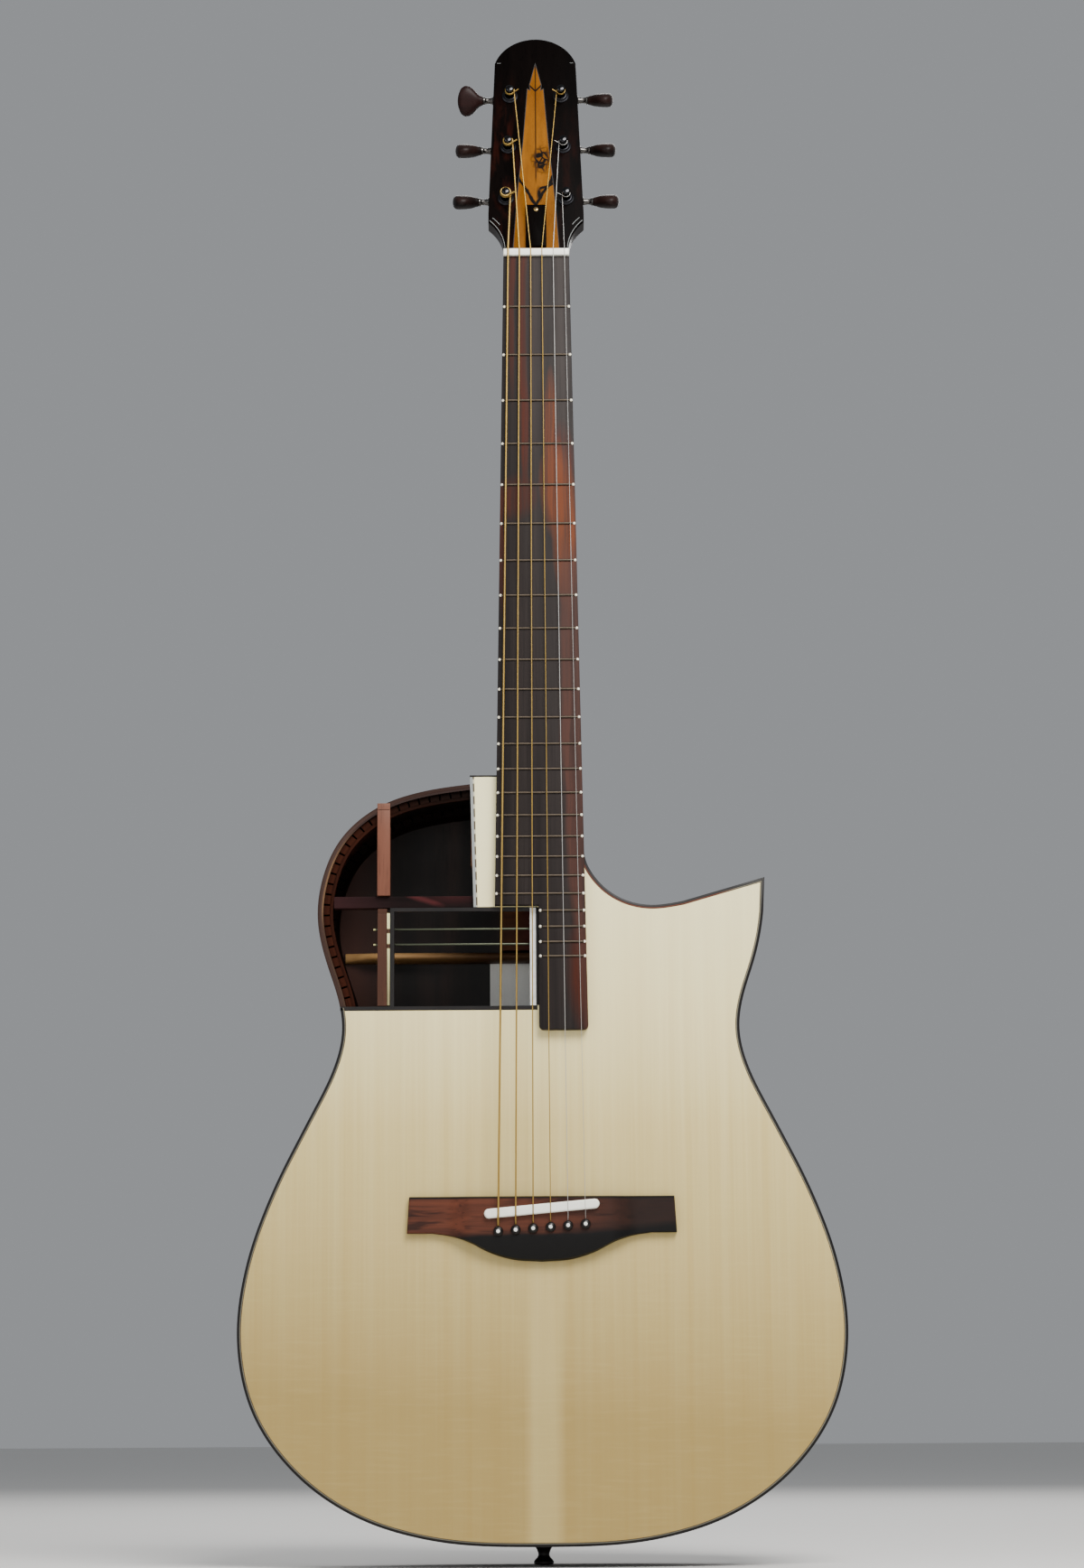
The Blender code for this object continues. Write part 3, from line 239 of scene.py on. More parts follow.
# Points carried by a 4 by 4 matrix, where there is one.
def moved(points, matrix):
    if matrix is None:
        return points
    m = np.array(matrix)
    return points @ m[:3, :3].T + m[:3, 3]


# Cubic steps through the given points, with each slope taken from its two neighbours.
def smoothLine(points, step):
    points = np.asarray(points, float)
    along = stepLengths(points)
    slopes = np.gradient(points, along, axis=0)
    line = [points[:1]]
    for i in range(len(points) - 1):
        length = along[i + 1] - along[i]
        t = np.linspace(0.0, 1.0, max(1, round(length / step)) + 1)[1:, None]
        start = (2 * t ** 3 - 3 * t ** 2 + 1) * points[i] + (t ** 3 - 2 * t ** 2 + t) * length * slopes[i]
        end = (3 * t ** 2 - 2 * t ** 3) * points[i + 1] + (t ** 3 - t ** 2) * length * slopes[i + 1]
        line.append(start + end)
    return np.concatenate(line)


# The vector at each point of a closed loop that moves both of its edges inwards by one metre.
def mitres(loop):
    ahead = np.roll(loop, -1, axis=0) - loop
    ahead /= np.linalg.norm(ahead, axis=1)[:, None]
    right = np.stack([ahead[:, 1], -ahead[:, 0]], axis=1)
    before = np.roll(right, 1, axis=0)
    return (right + before) / (1.0 + (right * before).sum(axis=1))[:, None]


# A flat loop of x and z carried through y. Each level is an inset and a depth, so the edge can
# be rounded: the loop moved inwards by the inset, at that depth.
def plateMesh(loop, levels, matrix=None):
    loop = np.asarray(loop, float)
    if loopArea(loop) > 0:
        loop = loop[::-1]
    inwards = mitres(loop)
    rows = []
    for inset, depth in levels:
        x, z = (loop + inset * inwards).T
        rows.append(xyz(x, depth, z))
    return gridMesh(moved(np.stack(rows), matrix))


def loopArea(loop):
    after = np.roll(loop, -1, axis=0)
    return (loop[:, 0] * after[:, 1] - after[:, 0] * loop[:, 1]).sum() / 2


# Rounded edge levels from front to back: a quarter circle of the radius at each end.
def roundedLevels(front, back, radius, steps=3, flatBack=False):
    angle = np.linspace(0.0, math.pi / 2, steps + 1)
    start = [(radius * (1 - math.sin(a)), front + radius * (1 - math.cos(a))) for a in angle]
    if flatBack:
        return start + [(0.0, back)]
    return start + [(radius * (1 - math.cos(a)), back - radius * (1 - math.sin(a))) for a in angle]


# A profile of radius and height turned about z: x and y are the radius times cosine and sine.
def latheMesh(profile, steps, matrix=None, ring=False):
    angle = np.arange(steps) * 2 * math.pi / steps
    radius, height = np.array(profile, float).T[..., None]
    return gridMesh(moved(xyz(radius * np.cos(angle), radius * np.sin(angle), height), matrix), ring=ring)


# A box with rounded edges: a rounded rectangle carried along x, drawn in at both ends.
def barMesh(low, high, radius=0.0004, matrix=None):
    low, high = np.array(low, float), np.array(high, float)
    half, centre = (high - low) / 2, (high + low) / 2
    radius = min(radius, *(half * 0.9))
    quarter = np.linspace(0.0, math.pi / 2, 4)
    corner = np.stack([np.cos(quarter), np.sin(quarter)], axis=1)
    turns = ((1, 1), (-1, 1), (-1, -1), (1, -1))
    ring = np.concatenate([turn * (half[1:] - radius + radius * corner[::turn[0] * turn[1]])
                           for turn in turns])
    inner = np.sign(ring) * np.maximum(np.abs(ring) - radius, 0.0)
    rows = [(-half[0] + radius * (1 - math.cos(a)), inner + (ring - inner) * math.sin(a)) for a in quarter]
    rows += [(-x, shape) for x, shape in rows[::-1]]
    return gridMesh(moved(np.stack([xyz(x, *shape.T) for x, shape in rows]) + centre, matrix))


# A circle carried along a path. Its first axis is square to the path and to x, up to the given
# row, and after that the part of a lead vector that is square to the path.
def tubeMesh(path, radius, sides, lead, leadFrom=0):
    ahead = np.gradient(path, axis=0)
    ahead /= np.linalg.norm(ahead, axis=1)[:, None]
    first = np.cross(ahead, np.array([1.0, 0.0, 0.0]))
    lead = np.array(lead, float)
    first[leadFrom:] = (lead - ahead * (ahead @ lead)[:, None])[leadFrom:]
    first /= np.linalg.norm(first, axis=1)[:, None]
    second = np.cross(ahead, first)
    angle = np.arange(sides)[None, :, None] * 2 * math.pi / sides
    outwards = np.cos(angle) * first[:, None] + np.sin(angle) * second[:, None]
    return gridMesh(path[:, None] + radius * outwards)


# Materials

def rgb(red, green, blue):
    share = np.array([red, green, blue]) / 255
    return tuple(np.where(share <= 0.04045, share / 12.92, ((share + 0.055) / 1.055) ** 2.4))


# An output of a shader node. Signs and math names make further nodes from it.
class Value:
    def __init__(self, tree, socket):
        self.tree, self.socket = tree, socket

    def math(self, operation, *others):
        return valueOf(self.tree, "Math", dict(enumerate((self, *others))), operation=operation)

    def vector(self, operation, other=None):
        inputs = {0: self} if other is None else {0: self, "Scale" if operation == "SCALE" else 1: other}
        output = "Value" if operation == "LENGTH" else 0
        return valueOf(self.tree, "VectorMath", inputs, output, operation=operation)

    # From low to high becomes toLow to toHigh, and the ends hold outside that.
    def stretch(self, low, high, toLow=0.0, toHigh=1.0):
        return valueOf(self.tree, "MapRange", {
            "Value": self, "From Min": low, "From Max": high, "To Min": toLow, "To Max": toHigh})

    def __add__(self, other):
        return self.math("ADD", other)

    def __sub__(self, other):
        return self.math("SUBTRACT", other)

    def __rsub__(self, other):
        return valueOf(self.tree, "Math", {0: other, 1: self}, operation="SUBTRACT")

    def __mul__(self, other):
        return self.math("MULTIPLY", other)


def setInputs(node, inputs):
    for key, value in inputs.items():
        if isinstance(value, Value):
            value.tree.links.new(value.socket, node.inputs[key])
        else:
            node.inputs[key].default_value = value


# A node with its settings, and its inputs given as numbers or values.
def addNode(tree, kind, inputs=(), **settings):
    made = tree.nodes.new("ShaderNode" + kind)
    for key, value in settings.items():
        setattr(made, key, value)
    setInputs(made, dict(inputs))
    return made


def valueOf(tree, kind, inputs=(), output=0, **settings):
    return Value(tree, addNode(tree, kind, inputs, **settings).outputs[output])


# Two colours mixed by a value. A colour is three numbers or a value.
def mix(share, first, second):
    colours = [tone if isinstance(tone, Value) else (*tone, 1.0) for tone in (first, second)]
    return valueOf(share.tree, "Mix", {0: share, 6: colours[0], 7: colours[1]}, 2, data_type="RGBA")


def greatest(first, *others):
    for other in others:
        first = first.math("MAXIMUM", other)
    return first


# Noise at a place, with one scale or with one for each axis.
def noise(place, scale, detail=3.0, output=0, **inputs):
    if isinstance(scale, tuple):
        place, scale = place.vector("MULTIPLY", scale), 1.0
    inputs = {"Vector": place, "Scale": scale, "Detail": detail, **inputs}
    return valueOf(place.tree, "TexNoise", inputs, output)


def axes(place):
    return [Value(place.tree, socket) for socket in addNode(place.tree, "SeparateXYZ", {0: place}).outputs]


# A place pushed about by a noise.
def wandering(place, scale, reach):
    push = noise(place, scale, output="Color").vector("SUBTRACT", (0.5, 0.5, 0.5)).vector("SCALE", reach)
    return place.vector("ADD", push)


# A soft oval in x and z: 1 at its middle and 0 outside, from the length of the scaled offset.
def ovalMask(place, centre, half, soft=0.35):
    offset = place.vector("SUBTRACT", (centre[0], 0.0, centre[1]))
    share = offset.vector("MULTIPLY", (1 / half[0], 0.0, 1 / half[1]))
    return share.vector("LENGTH").stretch(1.0 + soft, 1.0 - soft)


# A thin line where a value is near zero. Its half width may be a value.
def lineMask(value, half, soft):
    return (value.math("ABSOLUTE") - half).stretch(0.0, soft, 1.0, 0.0)


# A shader node group. paint takes the inputs as values and gives the outputs.
def makeGroup(name, inputs, outputs, paint):
    group = bpy.data.node_groups.new(name, "ShaderNodeTree")
    face = group.interface
    face.new_socket("Vector", in_out="INPUT", socket_type="NodeSocketVector")
    for label, value in inputs:
        face.new_socket(label, in_out="INPUT", socket_type="NodeSocketFloat").default_value = value
    for label in outputs:
        face.new_socket(label, in_out="OUTPUT", socket_type="NodeSocketFloat")
    start, end = group.nodes.new("NodeGroupInput"), group.nodes.new("NodeGroupOutput")
    given = [Value(group, start.outputs[label]) for label in ("Vector", *dict(inputs))]
    setInputs(end, dict(zip(outputs, paint(*given))))
    return group


# Shared effect: grain that runs along the vector's z. Streak is broad, Line is fine, Pore is short
# dark marks, and Height joins the last two for a bump.
def paintGrain(vector, scale, stretch, warp):
    factors = valueOf(scale.tree, "CombineXYZ", {0: scale, 1: scale, 2: scale.math("DIVIDE", stretch)})
    place = vector.vector("MULTIPLY", factors)
    drift = noise(place, 0.12, 2.0, "Color").vector("MULTIPLY", (4.0, 4.0, 0.0)).vector("SCALE", warp)
    bent = place.vector("ADD", drift)
    streak = noise(bent, 0.22, 3.0, Roughness=0.55)
    line = noise(bent, 1.3, 4.0, Roughness=0.6)
    pore = noise(bent, 3.4, 1.0, Roughness=0.4).stretch(0.60, 0.70)
    return streak.stretch(0.32, 0.68), line.stretch(0.30, 0.70), pore, pore.math("MULTIPLY_ADD", -0.8, line)


# Shared effect: soft smudges and fine scuffs that vary the gloss around a middle value.
def paintHandling(vector, roughness, spread):
    both = noise(vector, 28.0) * 0.7 + noise(vector, 420.0, 2.0) * 0.3
    return [(both - 0.5).math("MULTIPLY_ADD", spread, roughness)]


grainGroup = makeGroup("grain", (("Scale", 200.0), ("Stretch", 14.0), ("Warp", 0.4)),
                       ("Streak", "Line", "Pore", "Height"), paintGrain)
handlingGroup = makeGroup("handling", (("Roughness", 0.4), ("Spread", 0.1)), ("Gloss",), paintHandling)
plainFinish = {"roughness": 0.4, "spread": 0.16, "bump": 0.1, "bumpDepth": 0.0001, "coat": 0.0,
               "coatRoughness": 0.12, "metallic": 0.0, "specular": 0.5}


# A new material, with its object coordinates or its piece's own map.
def startMaterial(name, source="Object"):
    material = bpy.data.materials.new(name)
    material.use_nodes = True
    return material, valueOf(material.node_tree, "TexCoord", output=source)


def finishMaterial(material, look, colour, vector, height):
    look = {**plainFinish, **look}
    gloss = valueOf(vector.tree, "Group", {"Vector": vector, "Roughness": look["roughness"],
                                           "Spread": look["spread"]}, node_tree=handlingGroup)
    bump = valueOf(vector.tree, "Bump", {"Strength": look["bump"], "Distance": look["bumpDepth"],
                                         "Height": height})
    setInputs(vector.tree.nodes["Principled BSDF"], {
        "Base Color": colour, "Roughness": gloss, "Normal": bump, "Coat Weight": look["coat"],
        "Coat Roughness": look["coatRoughness"], "Metallic": look["metallic"],
        "Specular IOR Level": look["specular"]})
    return material


# A wood's look: its two grain colours, those of its lines and pores, and how strong and how long
# they are. The grain runs along z, along x, or along the piece's own map.
def woodLook(dark, light, line, pore, scale, stretch, lines, pores, **more):
    return {"dark": rgb(*dark), "light": rgb(*light), "lineColour": rgb(*line), "poreColour": rgb(*pore),
            "scale": scale, "stretch": stretch, "lines": lines, "pores": pores, "warp": 0.4,
            "direction": "z", "fades": (), **more}


def tinted(look, dark, light, line, pore=None, **more):
    made = {**look, "dark": rgb(*dark), "light": rgb(*light), "lineColour": rgb(*line), "fades": ()}
    if pore:
        made["poreColour"] = rgb(*pore)
    return {**made, **more}


# Wood from two colours mixed by the grain's streaks, darkened along its lines and pores. A fade is
# an axis, where it starts and ends, its strength and its colour. change may take the colour, the
# place and the streaks and give back another colour.
def woodMaterial(name, look, change=None):
    material, place = startMaterial(name)
    tree = place.tree
    source = valueOf(tree, "TexCoord", output="UV") if look["direction"] == "map" else place
    turn = 0.0 if look["direction"] == "z" else -math.pi / 2
    vector = valueOf(tree, "Mapping", {"Vector": source, "Rotation": (0.0, turn, 0.0)})
    grain = addNode(tree, "Group", {"Vector": vector, "Scale": look["scale"], "Stretch": look["stretch"],
                                    "Warp": look["warp"]}, node_tree=grainGroup)
    streak, line, pore, height = [Value(tree, socket) for socket in grain.outputs]
    colour = mix(streak, look["dark"], look["light"])
    colour = mix(line * look["lines"], colour, look["lineColour"])
    colour = mix(pore * look["pores"], colour, look["poreColour"])
    for axis, start, end, strength, tone in look["fades"]:
        colour = mix(axes(place)[axis].stretch(start, end, 0.0, strength), colour, tone)
    if change:
        colour = change(colour, place, streak)
    return finishMaterial(material, look, colour, vector, height)


spruceLook = woodLook(
    (226, 204, 136), (238, 221, 157), (201, 172, 103), (187, 152, 92), 620, 90, 0.22, 0.06, warp=0.15,
    roughness=0.45, spread=0.08, coat=0.12, coatRoughness=0.3, specular=0.35,
    edgeColour=rgb(141, 115, 54), seamColour=rgb(224, 208, 148), paleColour=rgb(253, 246, 196),
    seamAt=0.001, seamHalf=0.007)


# Spruce has painted shade, darker and more golden low down and towards the left edge, and painted light,
# paler towards the neck. It also has faint cross silk and a pale seam.
def spruceChange(colour, place, streak):
    x, _, z = axes(place)
    edge, seam = spruceLook["edgeColour"], spruceLook["seamColour"]
    # Painted shade: darker and more golden low down and to the left.
    colour = mix(x.math("MULTIPLY_ADD", 0.08, z).stretch(-0.50, -0.79, 0.0, 0.85), colour, edge)
    # Painted light: paler towards the neck.
    colour = mix(z.stretch(-0.60, -0.40, 0.0, 0.85), colour, spruceLook["paleColour"])
    # Faint cross silk in the painted shade's colour.
    colour = mix(noise(place, (60.0, 1.0, 2.5), 2.0).stretch(0.45, 0.75, 0.0, 0.06), colour, edge)
    colour = mix(noise(place, (35.0, 1.0, 420.0)).stretch(0.50, 0.78, 0.0, 0.07), colour, seam)
    across = lineMask(x - spruceLook["seamAt"], spruceLook["seamHalf"], spruceLook["seamHalf"])
    return mix(across * z.stretch(-0.76, -0.66, 1.0, 0.0) * 0.24, colour, seam)


rosewoodLook = woodLook(
    (34, 20, 17), (78, 50, 40), (24, 15, 14), (18, 12, 11), 150, 26, 0.55, 0.5, warp=0.7,
    roughness=0.45, bump=0.25, specular=0.18, insideColour=rgb(11, 9, 8), insideRed=rgb(60, 34, 27))


# The faces marked as inside get painted shade: near black, lighter and redder towards the bass side, with a
# little of the grain mixed back in.
def insideChange(colour, place, streak):
    # Painted shade inside the body, lighter towards the bass side.
    bass = axes(place)[0].stretch(-0.100, -0.128)
    dark = mix(bass, rosewoodLook["insideColour"], rosewoodLook["insideRed"])
    dark = mix(streak * 0.35, dark, colour)
    marked = valueOf(place.tree, "Attribute", output="Fac", attribute_name="inside")
    return mix(marked, colour, dark)


# The neck turns nearly black from just below the nut upwards, over the headstock's sides.
mahoganyLook = woodLook(
    (78, 45, 31), (124, 78, 53), (60, 35, 25), (50, 29, 21), 260, 16, 0.35, 0.45, warp=0.3,
    roughness=0.42, bump=0.2, coat=0.1, specular=0.3, fades=((2, -0.004, 0.006, 0.97, rgb(12, 7, 6)),))
headplateLook = woodLook(
    (5, 4, 4), (12, 8, 7), (4, 3, 3), (3, 2, 2), 180, 30, 0.4, 0.3, warp=0.5,
    roughness=0.30, bump=0.08, specular=0.008, redColour=rgb(34, 13, 9),
    patches=(((-0.020, 0.065), (0.012, 0.060), 1.0), ((0.022, 0.060), (0.010, 0.045), 0.45)))


# Red streaks, most of them between the bass tuning posts.
def headplateChange(colour, place, streak):
    place = wandering(place, (60.0, 60.0, 12.0), 0.012)
    streak = noise(place, (190.0, 190.0, 12.0)).stretch(0.46, 0.66)
    for centre, half, strength in headplateLook["patches"]:
        share = ovalMask(place, centre, half, 0.5) * strength * streak
        colour = mix(share, colour, headplateLook["redColour"])
    return colour


fretboardLook = woodLook(
    (23, 19, 19), (49, 42, 40), (11, 9, 9), (8, 7, 7), 330, 60, 0.4, 0.3,
    roughness=0.50, bump=0.15, specular=0.12,
    brown=rgb(98, 48, 20), red=rgb(66, 28, 17), edgeBrown=rgb(68, 42, 35),
    patches=(               # middle, half size, colour, strength
        ((-0.0160, -0.035), (0.0020, 0.060), "red", 0.9), ((-0.0085, -0.050), (0.0024, 0.075), "red", 0.9),
        ((0.0085, -0.122), (0.0036, 0.034), "brown", 1.0), ((0.0170, -0.148), (0.0060, 0.024), "red", 0.9),
        ((0.0120, -0.165), (0.0085, 0.028), "brown", 1.0), ((0.0190, -0.200), (0.0075, 0.040), "brown", 1.0),
        ((-0.0075, -0.128), (0.0022, 0.036), "red", 1.0), ((-0.0135, -0.172), (0.0110, 0.013), "red", 0.8),
        ((-0.0245, -0.205), (0.0022, 0.040), "red", 0.9), ((0.0300, -0.500), (0.0100, 0.034), "red", 0.9),
    ),
    bandFrom=0.0125, bandSoft=0.004, bandStart=-0.200, bandTurn=-0.340, bandSlope=-0.075)


# Red-brown figure: oval patches near the nut and a band down the treble side that narrows away.
def fretboardChange(colour, place, streak):
    look = fretboardLook
    place = wandering(place, (30.0, 1.0, 11.0), 0.010)
    streak = noise(place, (420.0, 60.0, 7.0)).stretch(0.30, 0.60, 0.30, 1.0)
    for centre, half, tone, strength in look["patches"]:
        colour = mix(ovalMask(place, centre, half) * strength * streak, colour, look[tone])
    x, _, z = axes(place)
    limit = (look["bandTurn"] - z).math("MAXIMUM", 0.0).math("MULTIPLY_ADD", look["bandSlope"], x)
    band = limit.stretch(look["bandFrom"], look["bandFrom"] + look["bandSoft"])
    share = band * z.stretch(look["bandStart"], look["bandStart"] - 0.02) * streak
    return mix(share, colour, look["edgeBrown"])


bridgeLook = woodLook(
    (54, 25, 17), (103, 55, 36), (34, 17, 13), (24, 13, 11), 210, 20, 0.55, 0.4, warp=0.8, direction="x",
    roughness=0.42, bump=0.2, specular=0.18, blackColour=rgb(6, 5, 5), darkWing=rgb(26, 18, 15),
    boundary=-0.6675, rise=0.062, topLine=-0.6492)


# Red-brown wings over a black belly whose border rises to the treble side, with wavy black bands
# and a dark line along the top edge.
def bridgeChange(colour, place, streak):
    look = bridgeLook
    edge = axes(place)[2].stretch(look["topLine"], look["topLine"] + 0.0012)
    place = wandering(place, (22.0, 60.0, 90.0), 0.012)
    x, _, z = axes(place)
    colour = mix(x.stretch(0.010, 0.060, 0.0, 0.92), colour, look["darkWing"])
    belly = x.math("MULTIPLY_ADD", -look["rise"], z).stretch(look["boundary"], look["boundary"] - 0.0060)
    bands = noise(place, (14.0, 90.0, 150.0)).stretch(0.55, 0.63, 0.0, 0.7)
    return mix(greatest(bands, belly, edge), colour, look["blackColour"])


ebonyLook = woodLook((12, 10, 10), (24, 20, 19), (12, 10, 10), (12, 10, 10), 300, 20, 0.3, 0.2,
                     roughness=0.36, specular=0.25)
# The upright is greyer towards its upper end.
uprightLook = woodLook(
    (90, 53, 39), (117, 73, 56), (78, 45, 33), (65, 37, 27), 260, 18, 0.35, 0.35,
    roughness=0.55, bump=0.15, specular=0.2, fades=((2, -0.400, -0.372, 0.7, rgb(110, 79, 68)),))
crossBarLook = woodLook(
    (17, 10, 10), (30, 19, 19), (15, 9, 9), (10, 6, 6), 220, 22, 0.4, 0.35, warp=0.9, direction="x",
    roughness=0.5, bump=0.15, specular=0.05, figure=rgb(66, 30, 31), leftColour=rgb(46, 25, 26),
    lineSlope=0.32, lineAt=0.4725)


# Pinker to the left, with one wavy pink line near the middle.
def crossBarChange(colour, place, streak):
    place = wandering(place, (40.0, 40.0, 60.0), 0.004)
    x, _, z = axes(place)
    colour = mix(x.stretch(-0.095, -0.135, 0.0, 0.8), colour, crossBarLook["leftColour"])
    slanted = x.math("MULTIPLY_ADD", crossBarLook["lineSlope"], z) + crossBarLook["lineAt"]
    line = lineMask(slanted, 0.0004, 0.0024) * ovalMask(place, (-0.0790, -0.448), (0.0125, 0.02))
    glow = ovalMask(place, (-0.058, -0.446), (0.014, 0.0035), 0.8) * 0.4
    return mix(greatest(line, glow), colour, crossBarLook["figure"])


# The rim and the lining turn darker as they rise to the neck.
rimTopLook = woodLook(
    (49, 35, 30), (78, 60, 54), (38, 26, 22), (31, 20, 17), 260, 26, 0.4, 0.3, direction="map",
    roughness=0.5, bump=0.12, specular=0.08, fades=((2, -0.400, -0.375, 0.85, rgb(36, 19, 14)),))
liningLook = woodLook(
    (38, 15, 8), (60, 28, 16), (23, 9, 5), (16, 7, 4), 280, 12, 0.4, 0.4, direction="map",
    roughness=0.65, bump=0.25, specular=0.04, fades=((2, -0.408, -0.378, 0.95, rgb(12, 5, 3)),))
# The braces are painted darker and browner away from the bass rim: painted shadow, as light reaches them
# through the window on the bass side.
goldenLook = woodLook(
    (148, 109, 64), (188, 149, 98), (113, 78, 40), (96, 66, 35), 260, 30, 0.35, 0.2, direction="x",
    roughness=0.55, bump=0.12, specular=0.2, fades=((0, -0.110, -0.035, 0.92, rgb(61, 36, 21)),))
# The blocks turn darker and redder from x = -0.02 rightwards: painted shadow of the fretboard's extension.
blockLook = woodLook(
    (66, 34, 16), (110, 64, 28), (52, 27, 13), (40, 21, 11), 240, 14, 0.4, 0.4, direction="x",
    roughness=0.6, bump=0.15, specular=0.2, fades=((0, -0.020, -0.010, 0.9, rgb(66, 22, 13)),))
lineLook = {"rimEnd": rgb(36, 19, 14), "creamFoot": rgb(61, 36, 21), "cutaway": rgb(96, 54, 40),
            "creamBreaks": (-0.4691, -0.4793)}


# The purfling is grey round the lower bouts and red-brown along the cutaway.
def purflingChange(colour, place, streak):
    x, _, z = axes(place)
    return mix(x.stretch(0.134, 0.120) * z.stretch(-0.470, -0.458), colour, lineLook["cutaway"])


# Painted light: a golden line inside the open rim stands for the lit inner wall of the rim, and it fades to
# dark at both ends.
def rimLineChange(colour, place, streak):
    z = axes(place)[2]
    fade = greatest(z.stretch(-0.425, -0.398), z.stretch(-0.452, -0.468, 0.0, 0.8))
    return mix(fade, colour, lineLook["rimEnd"])


# The pale line beside the lower upright dulls towards its foot, and has painted shadow just under each of the
# two rods.
def creamChange(colour, place, streak):
    z = axes(place)[2]
    # Painted shadow bands just under the two rods.
    gaps = [lineMask(z - height, 0.0012, 0.0008) for height in lineLook["creamBreaks"]]
    return mix(greatest(z.stretch(-0.468, -0.512, 0.0, 0.7), *gaps), colour, lineLook["creamFoot"])


buttonLook = woodLook(
    (16, 9, 8), (37, 21, 18), (11, 7, 6), (8, 5, 5), 380, 9, 0.4, 0.3, warp=0.9, direction="x",
    roughness=0.44, bump=0.06, specular=0.12)
faceButtonLook = tinted(buttonLook, (28, 13, 12), (42, 21, 19), (18, 8, 8), ringColour=rgb(15, 7, 7),
                        ringCentre=(-0.062, 0.0, 0.105), ringPitch=0.0011)


# Growth rings: dark lines at even distances from a centre beyond the button's edge.
def ringsChange(colour, place, streak):
    offset = wandering(place, (160.0, 160.0, 160.0), 0.0012).vector("SUBTRACT", faceButtonLook["ringCentre"])
    away = offset.vector("MULTIPLY", (1.0, 0.0, 1.0)).vector("LENGTH")
    wave = (away * (2 * math.pi / faceButtonLook["ringPitch"])).math("SINE")
    return mix(wave.stretch(0.2, 0.9, 0.0, 0.6), colour, faceButtonLook["ringColour"])


inlayLook = woodLook(
    (103, 60, 7), (131, 82, 14), (84, 46, 6), (70, 37, 5), 300, 22, 0.3, 0.15, warp=0.35,
    roughness=0.32, bump=0.08, specular=0.04,
    ink=rgb(6, 4, 3), stain=rgb(48, 21, 4), lowColour=rgb(84, 42, 3),
    vLow=0.0415, vSlope=1.85, tipLine=0.1339, tipSlope=1.1, spurLow=0.0523, spurSlope=0.556,
    patch=((0.0040, 0.078), (0.0060, 0.0095)), blot=((0.0026, 0.0500), (0.0018, 0.0052)))


# Ink lines: a wide V from the edges down to the centre, the dark joint of the two halves above it, a
# small V under the tip, a spur, and branching lines in a stained patch on the treble side.
def inlayChange(colour, place, streak):
    look = inlayLook
    plainX, _, plainZ = axes(place)
    place = wandering(place, (120.0, 120.0, 90.0), 0.0035)
    x, _, z = axes(place)
    patch = ovalMask(place, *look["patch"])
    blot = ovalMask(place, *look["blot"], 0.5)
    branch = noise(place, (230.0, 230.0, 150.0))
    colour = mix(plainZ.stretch(0.085, 0.035, 0.0, 0.12), colour, look["lowColour"])
    colour = mix(patch * 0.45, colour, look["stain"])
    cells = valueOf(place.tree, "TexVoronoi", {"Vector": place, "Scale": 250.0}, feature="DISTANCE_TO_EDGE")
    veins = cells.stretch(0.09, 0.20, 1.0, 0.0) * patch
    wide = z - x.math("ABSOLUTE").math("MULTIPLY_ADD", look["vSlope"], look["vLow"])
    wide = lineMask(wide, branch * 0.0036, 0.0012)
    joint = lineMask(plainX, 0.00025, 0.0004) * plainZ.stretch(0.058, 0.064, 0.0, 0.85)
    tip = plainZ - plainX.math("ABSOLUTE").math("MULTIPLY_ADD", look["tipSlope"], look["tipLine"])
    tip = lineMask(tip, 0.0006, 0.0005)
    spur = z - x.math("MULTIPLY_ADD", look["spurSlope"], look["spurLow"])
    spur = lineMask(spur, 0.0008, 0.0008) * x.stretch(0.0015, 0.0035)
    return mix(greatest(veins, wide, joint, tip, blot, spur), colour, look["ink"])


# The other materials: paint takes the place and gives a colour and a height.
def otherMaterial(name, paint, source="Object", **look):
    material, place = startMaterial(name, source)
    colour, height = paint(place)
    return finishMaterial(material, look, colour, place, height)


def metalMaterial(name, colour, roughness, bump=0.06, metallic=1.0):
    return otherMaterial(name, lambda place: ((*colour, 1.0), noise(place, 900.0, 2.0)), roughness=roughness,
                         spread=0.1, bump=bump, metallic=metallic, bumpDepth=0.00002)


# Dark metal with a painted highlight on each of its two ends.
def paintRod(place):
    x = axes(place)[0]
    worn = greatest(x.stretch(-0.1100, -0.1112), x.stretch(-0.0066, -0.0056))
    return mix(worn, rgb(72, 76, 62), rgb(222, 216, 150)), noise(place, 900.0, 2.0)


winding = {"pitch": 0.00042, "groove": (0.22, 0.13, 0.03), "ridge": (0.50, 0.34, 0.09)}


# A wound string: bands across its length, from the piece's own map, with painted shade in the grooves between
# the wraps.
def paintWinding(place):
    turn = (axes(place)[0] * (2 * math.pi / winding["pitch"])).math("SINE")
    ridge = turn.math("MULTIPLY_ADD", 0.5, 0.5)
    return mix(ridge, winding["groove"], winding["ridge"]), ridge


def paintPearl(place):
    cloud = noise(place, (160.0, 160.0, 90.0), Distortion=1.2)
    colour = mix(cloud.stretch(0.35, 0.65), rgb(206, 214, 208), rgb(244, 244, 238))
    return mix(cloud.stretch(0.62, 0.72, 0.0, 0.5), colour, rgb(214, 200, 212)), cloud


def paintBone(place):
    cloud = noise(place, 260.0)
    return mix(cloud, rgb(240, 240, 226), rgb(252, 252, 244)), cloud


def paintPaper(place):
    fibre = noise(place, 700.0, 4.0)
    return mix(fibre, rgb(244, 245, 240), rgb(252, 252, 247)), fibre


# Short dark dashes along z between pale ones.
def paintDashes(place):
    wave = (axes(place)[2] * (2 * math.pi / 0.0086)).math("SINE")
    return mix(wave.stretch(0.35, 0.65), rgb(72, 62, 46), rgb(186, 182, 160)), noise(place, 500.0, 2.0)


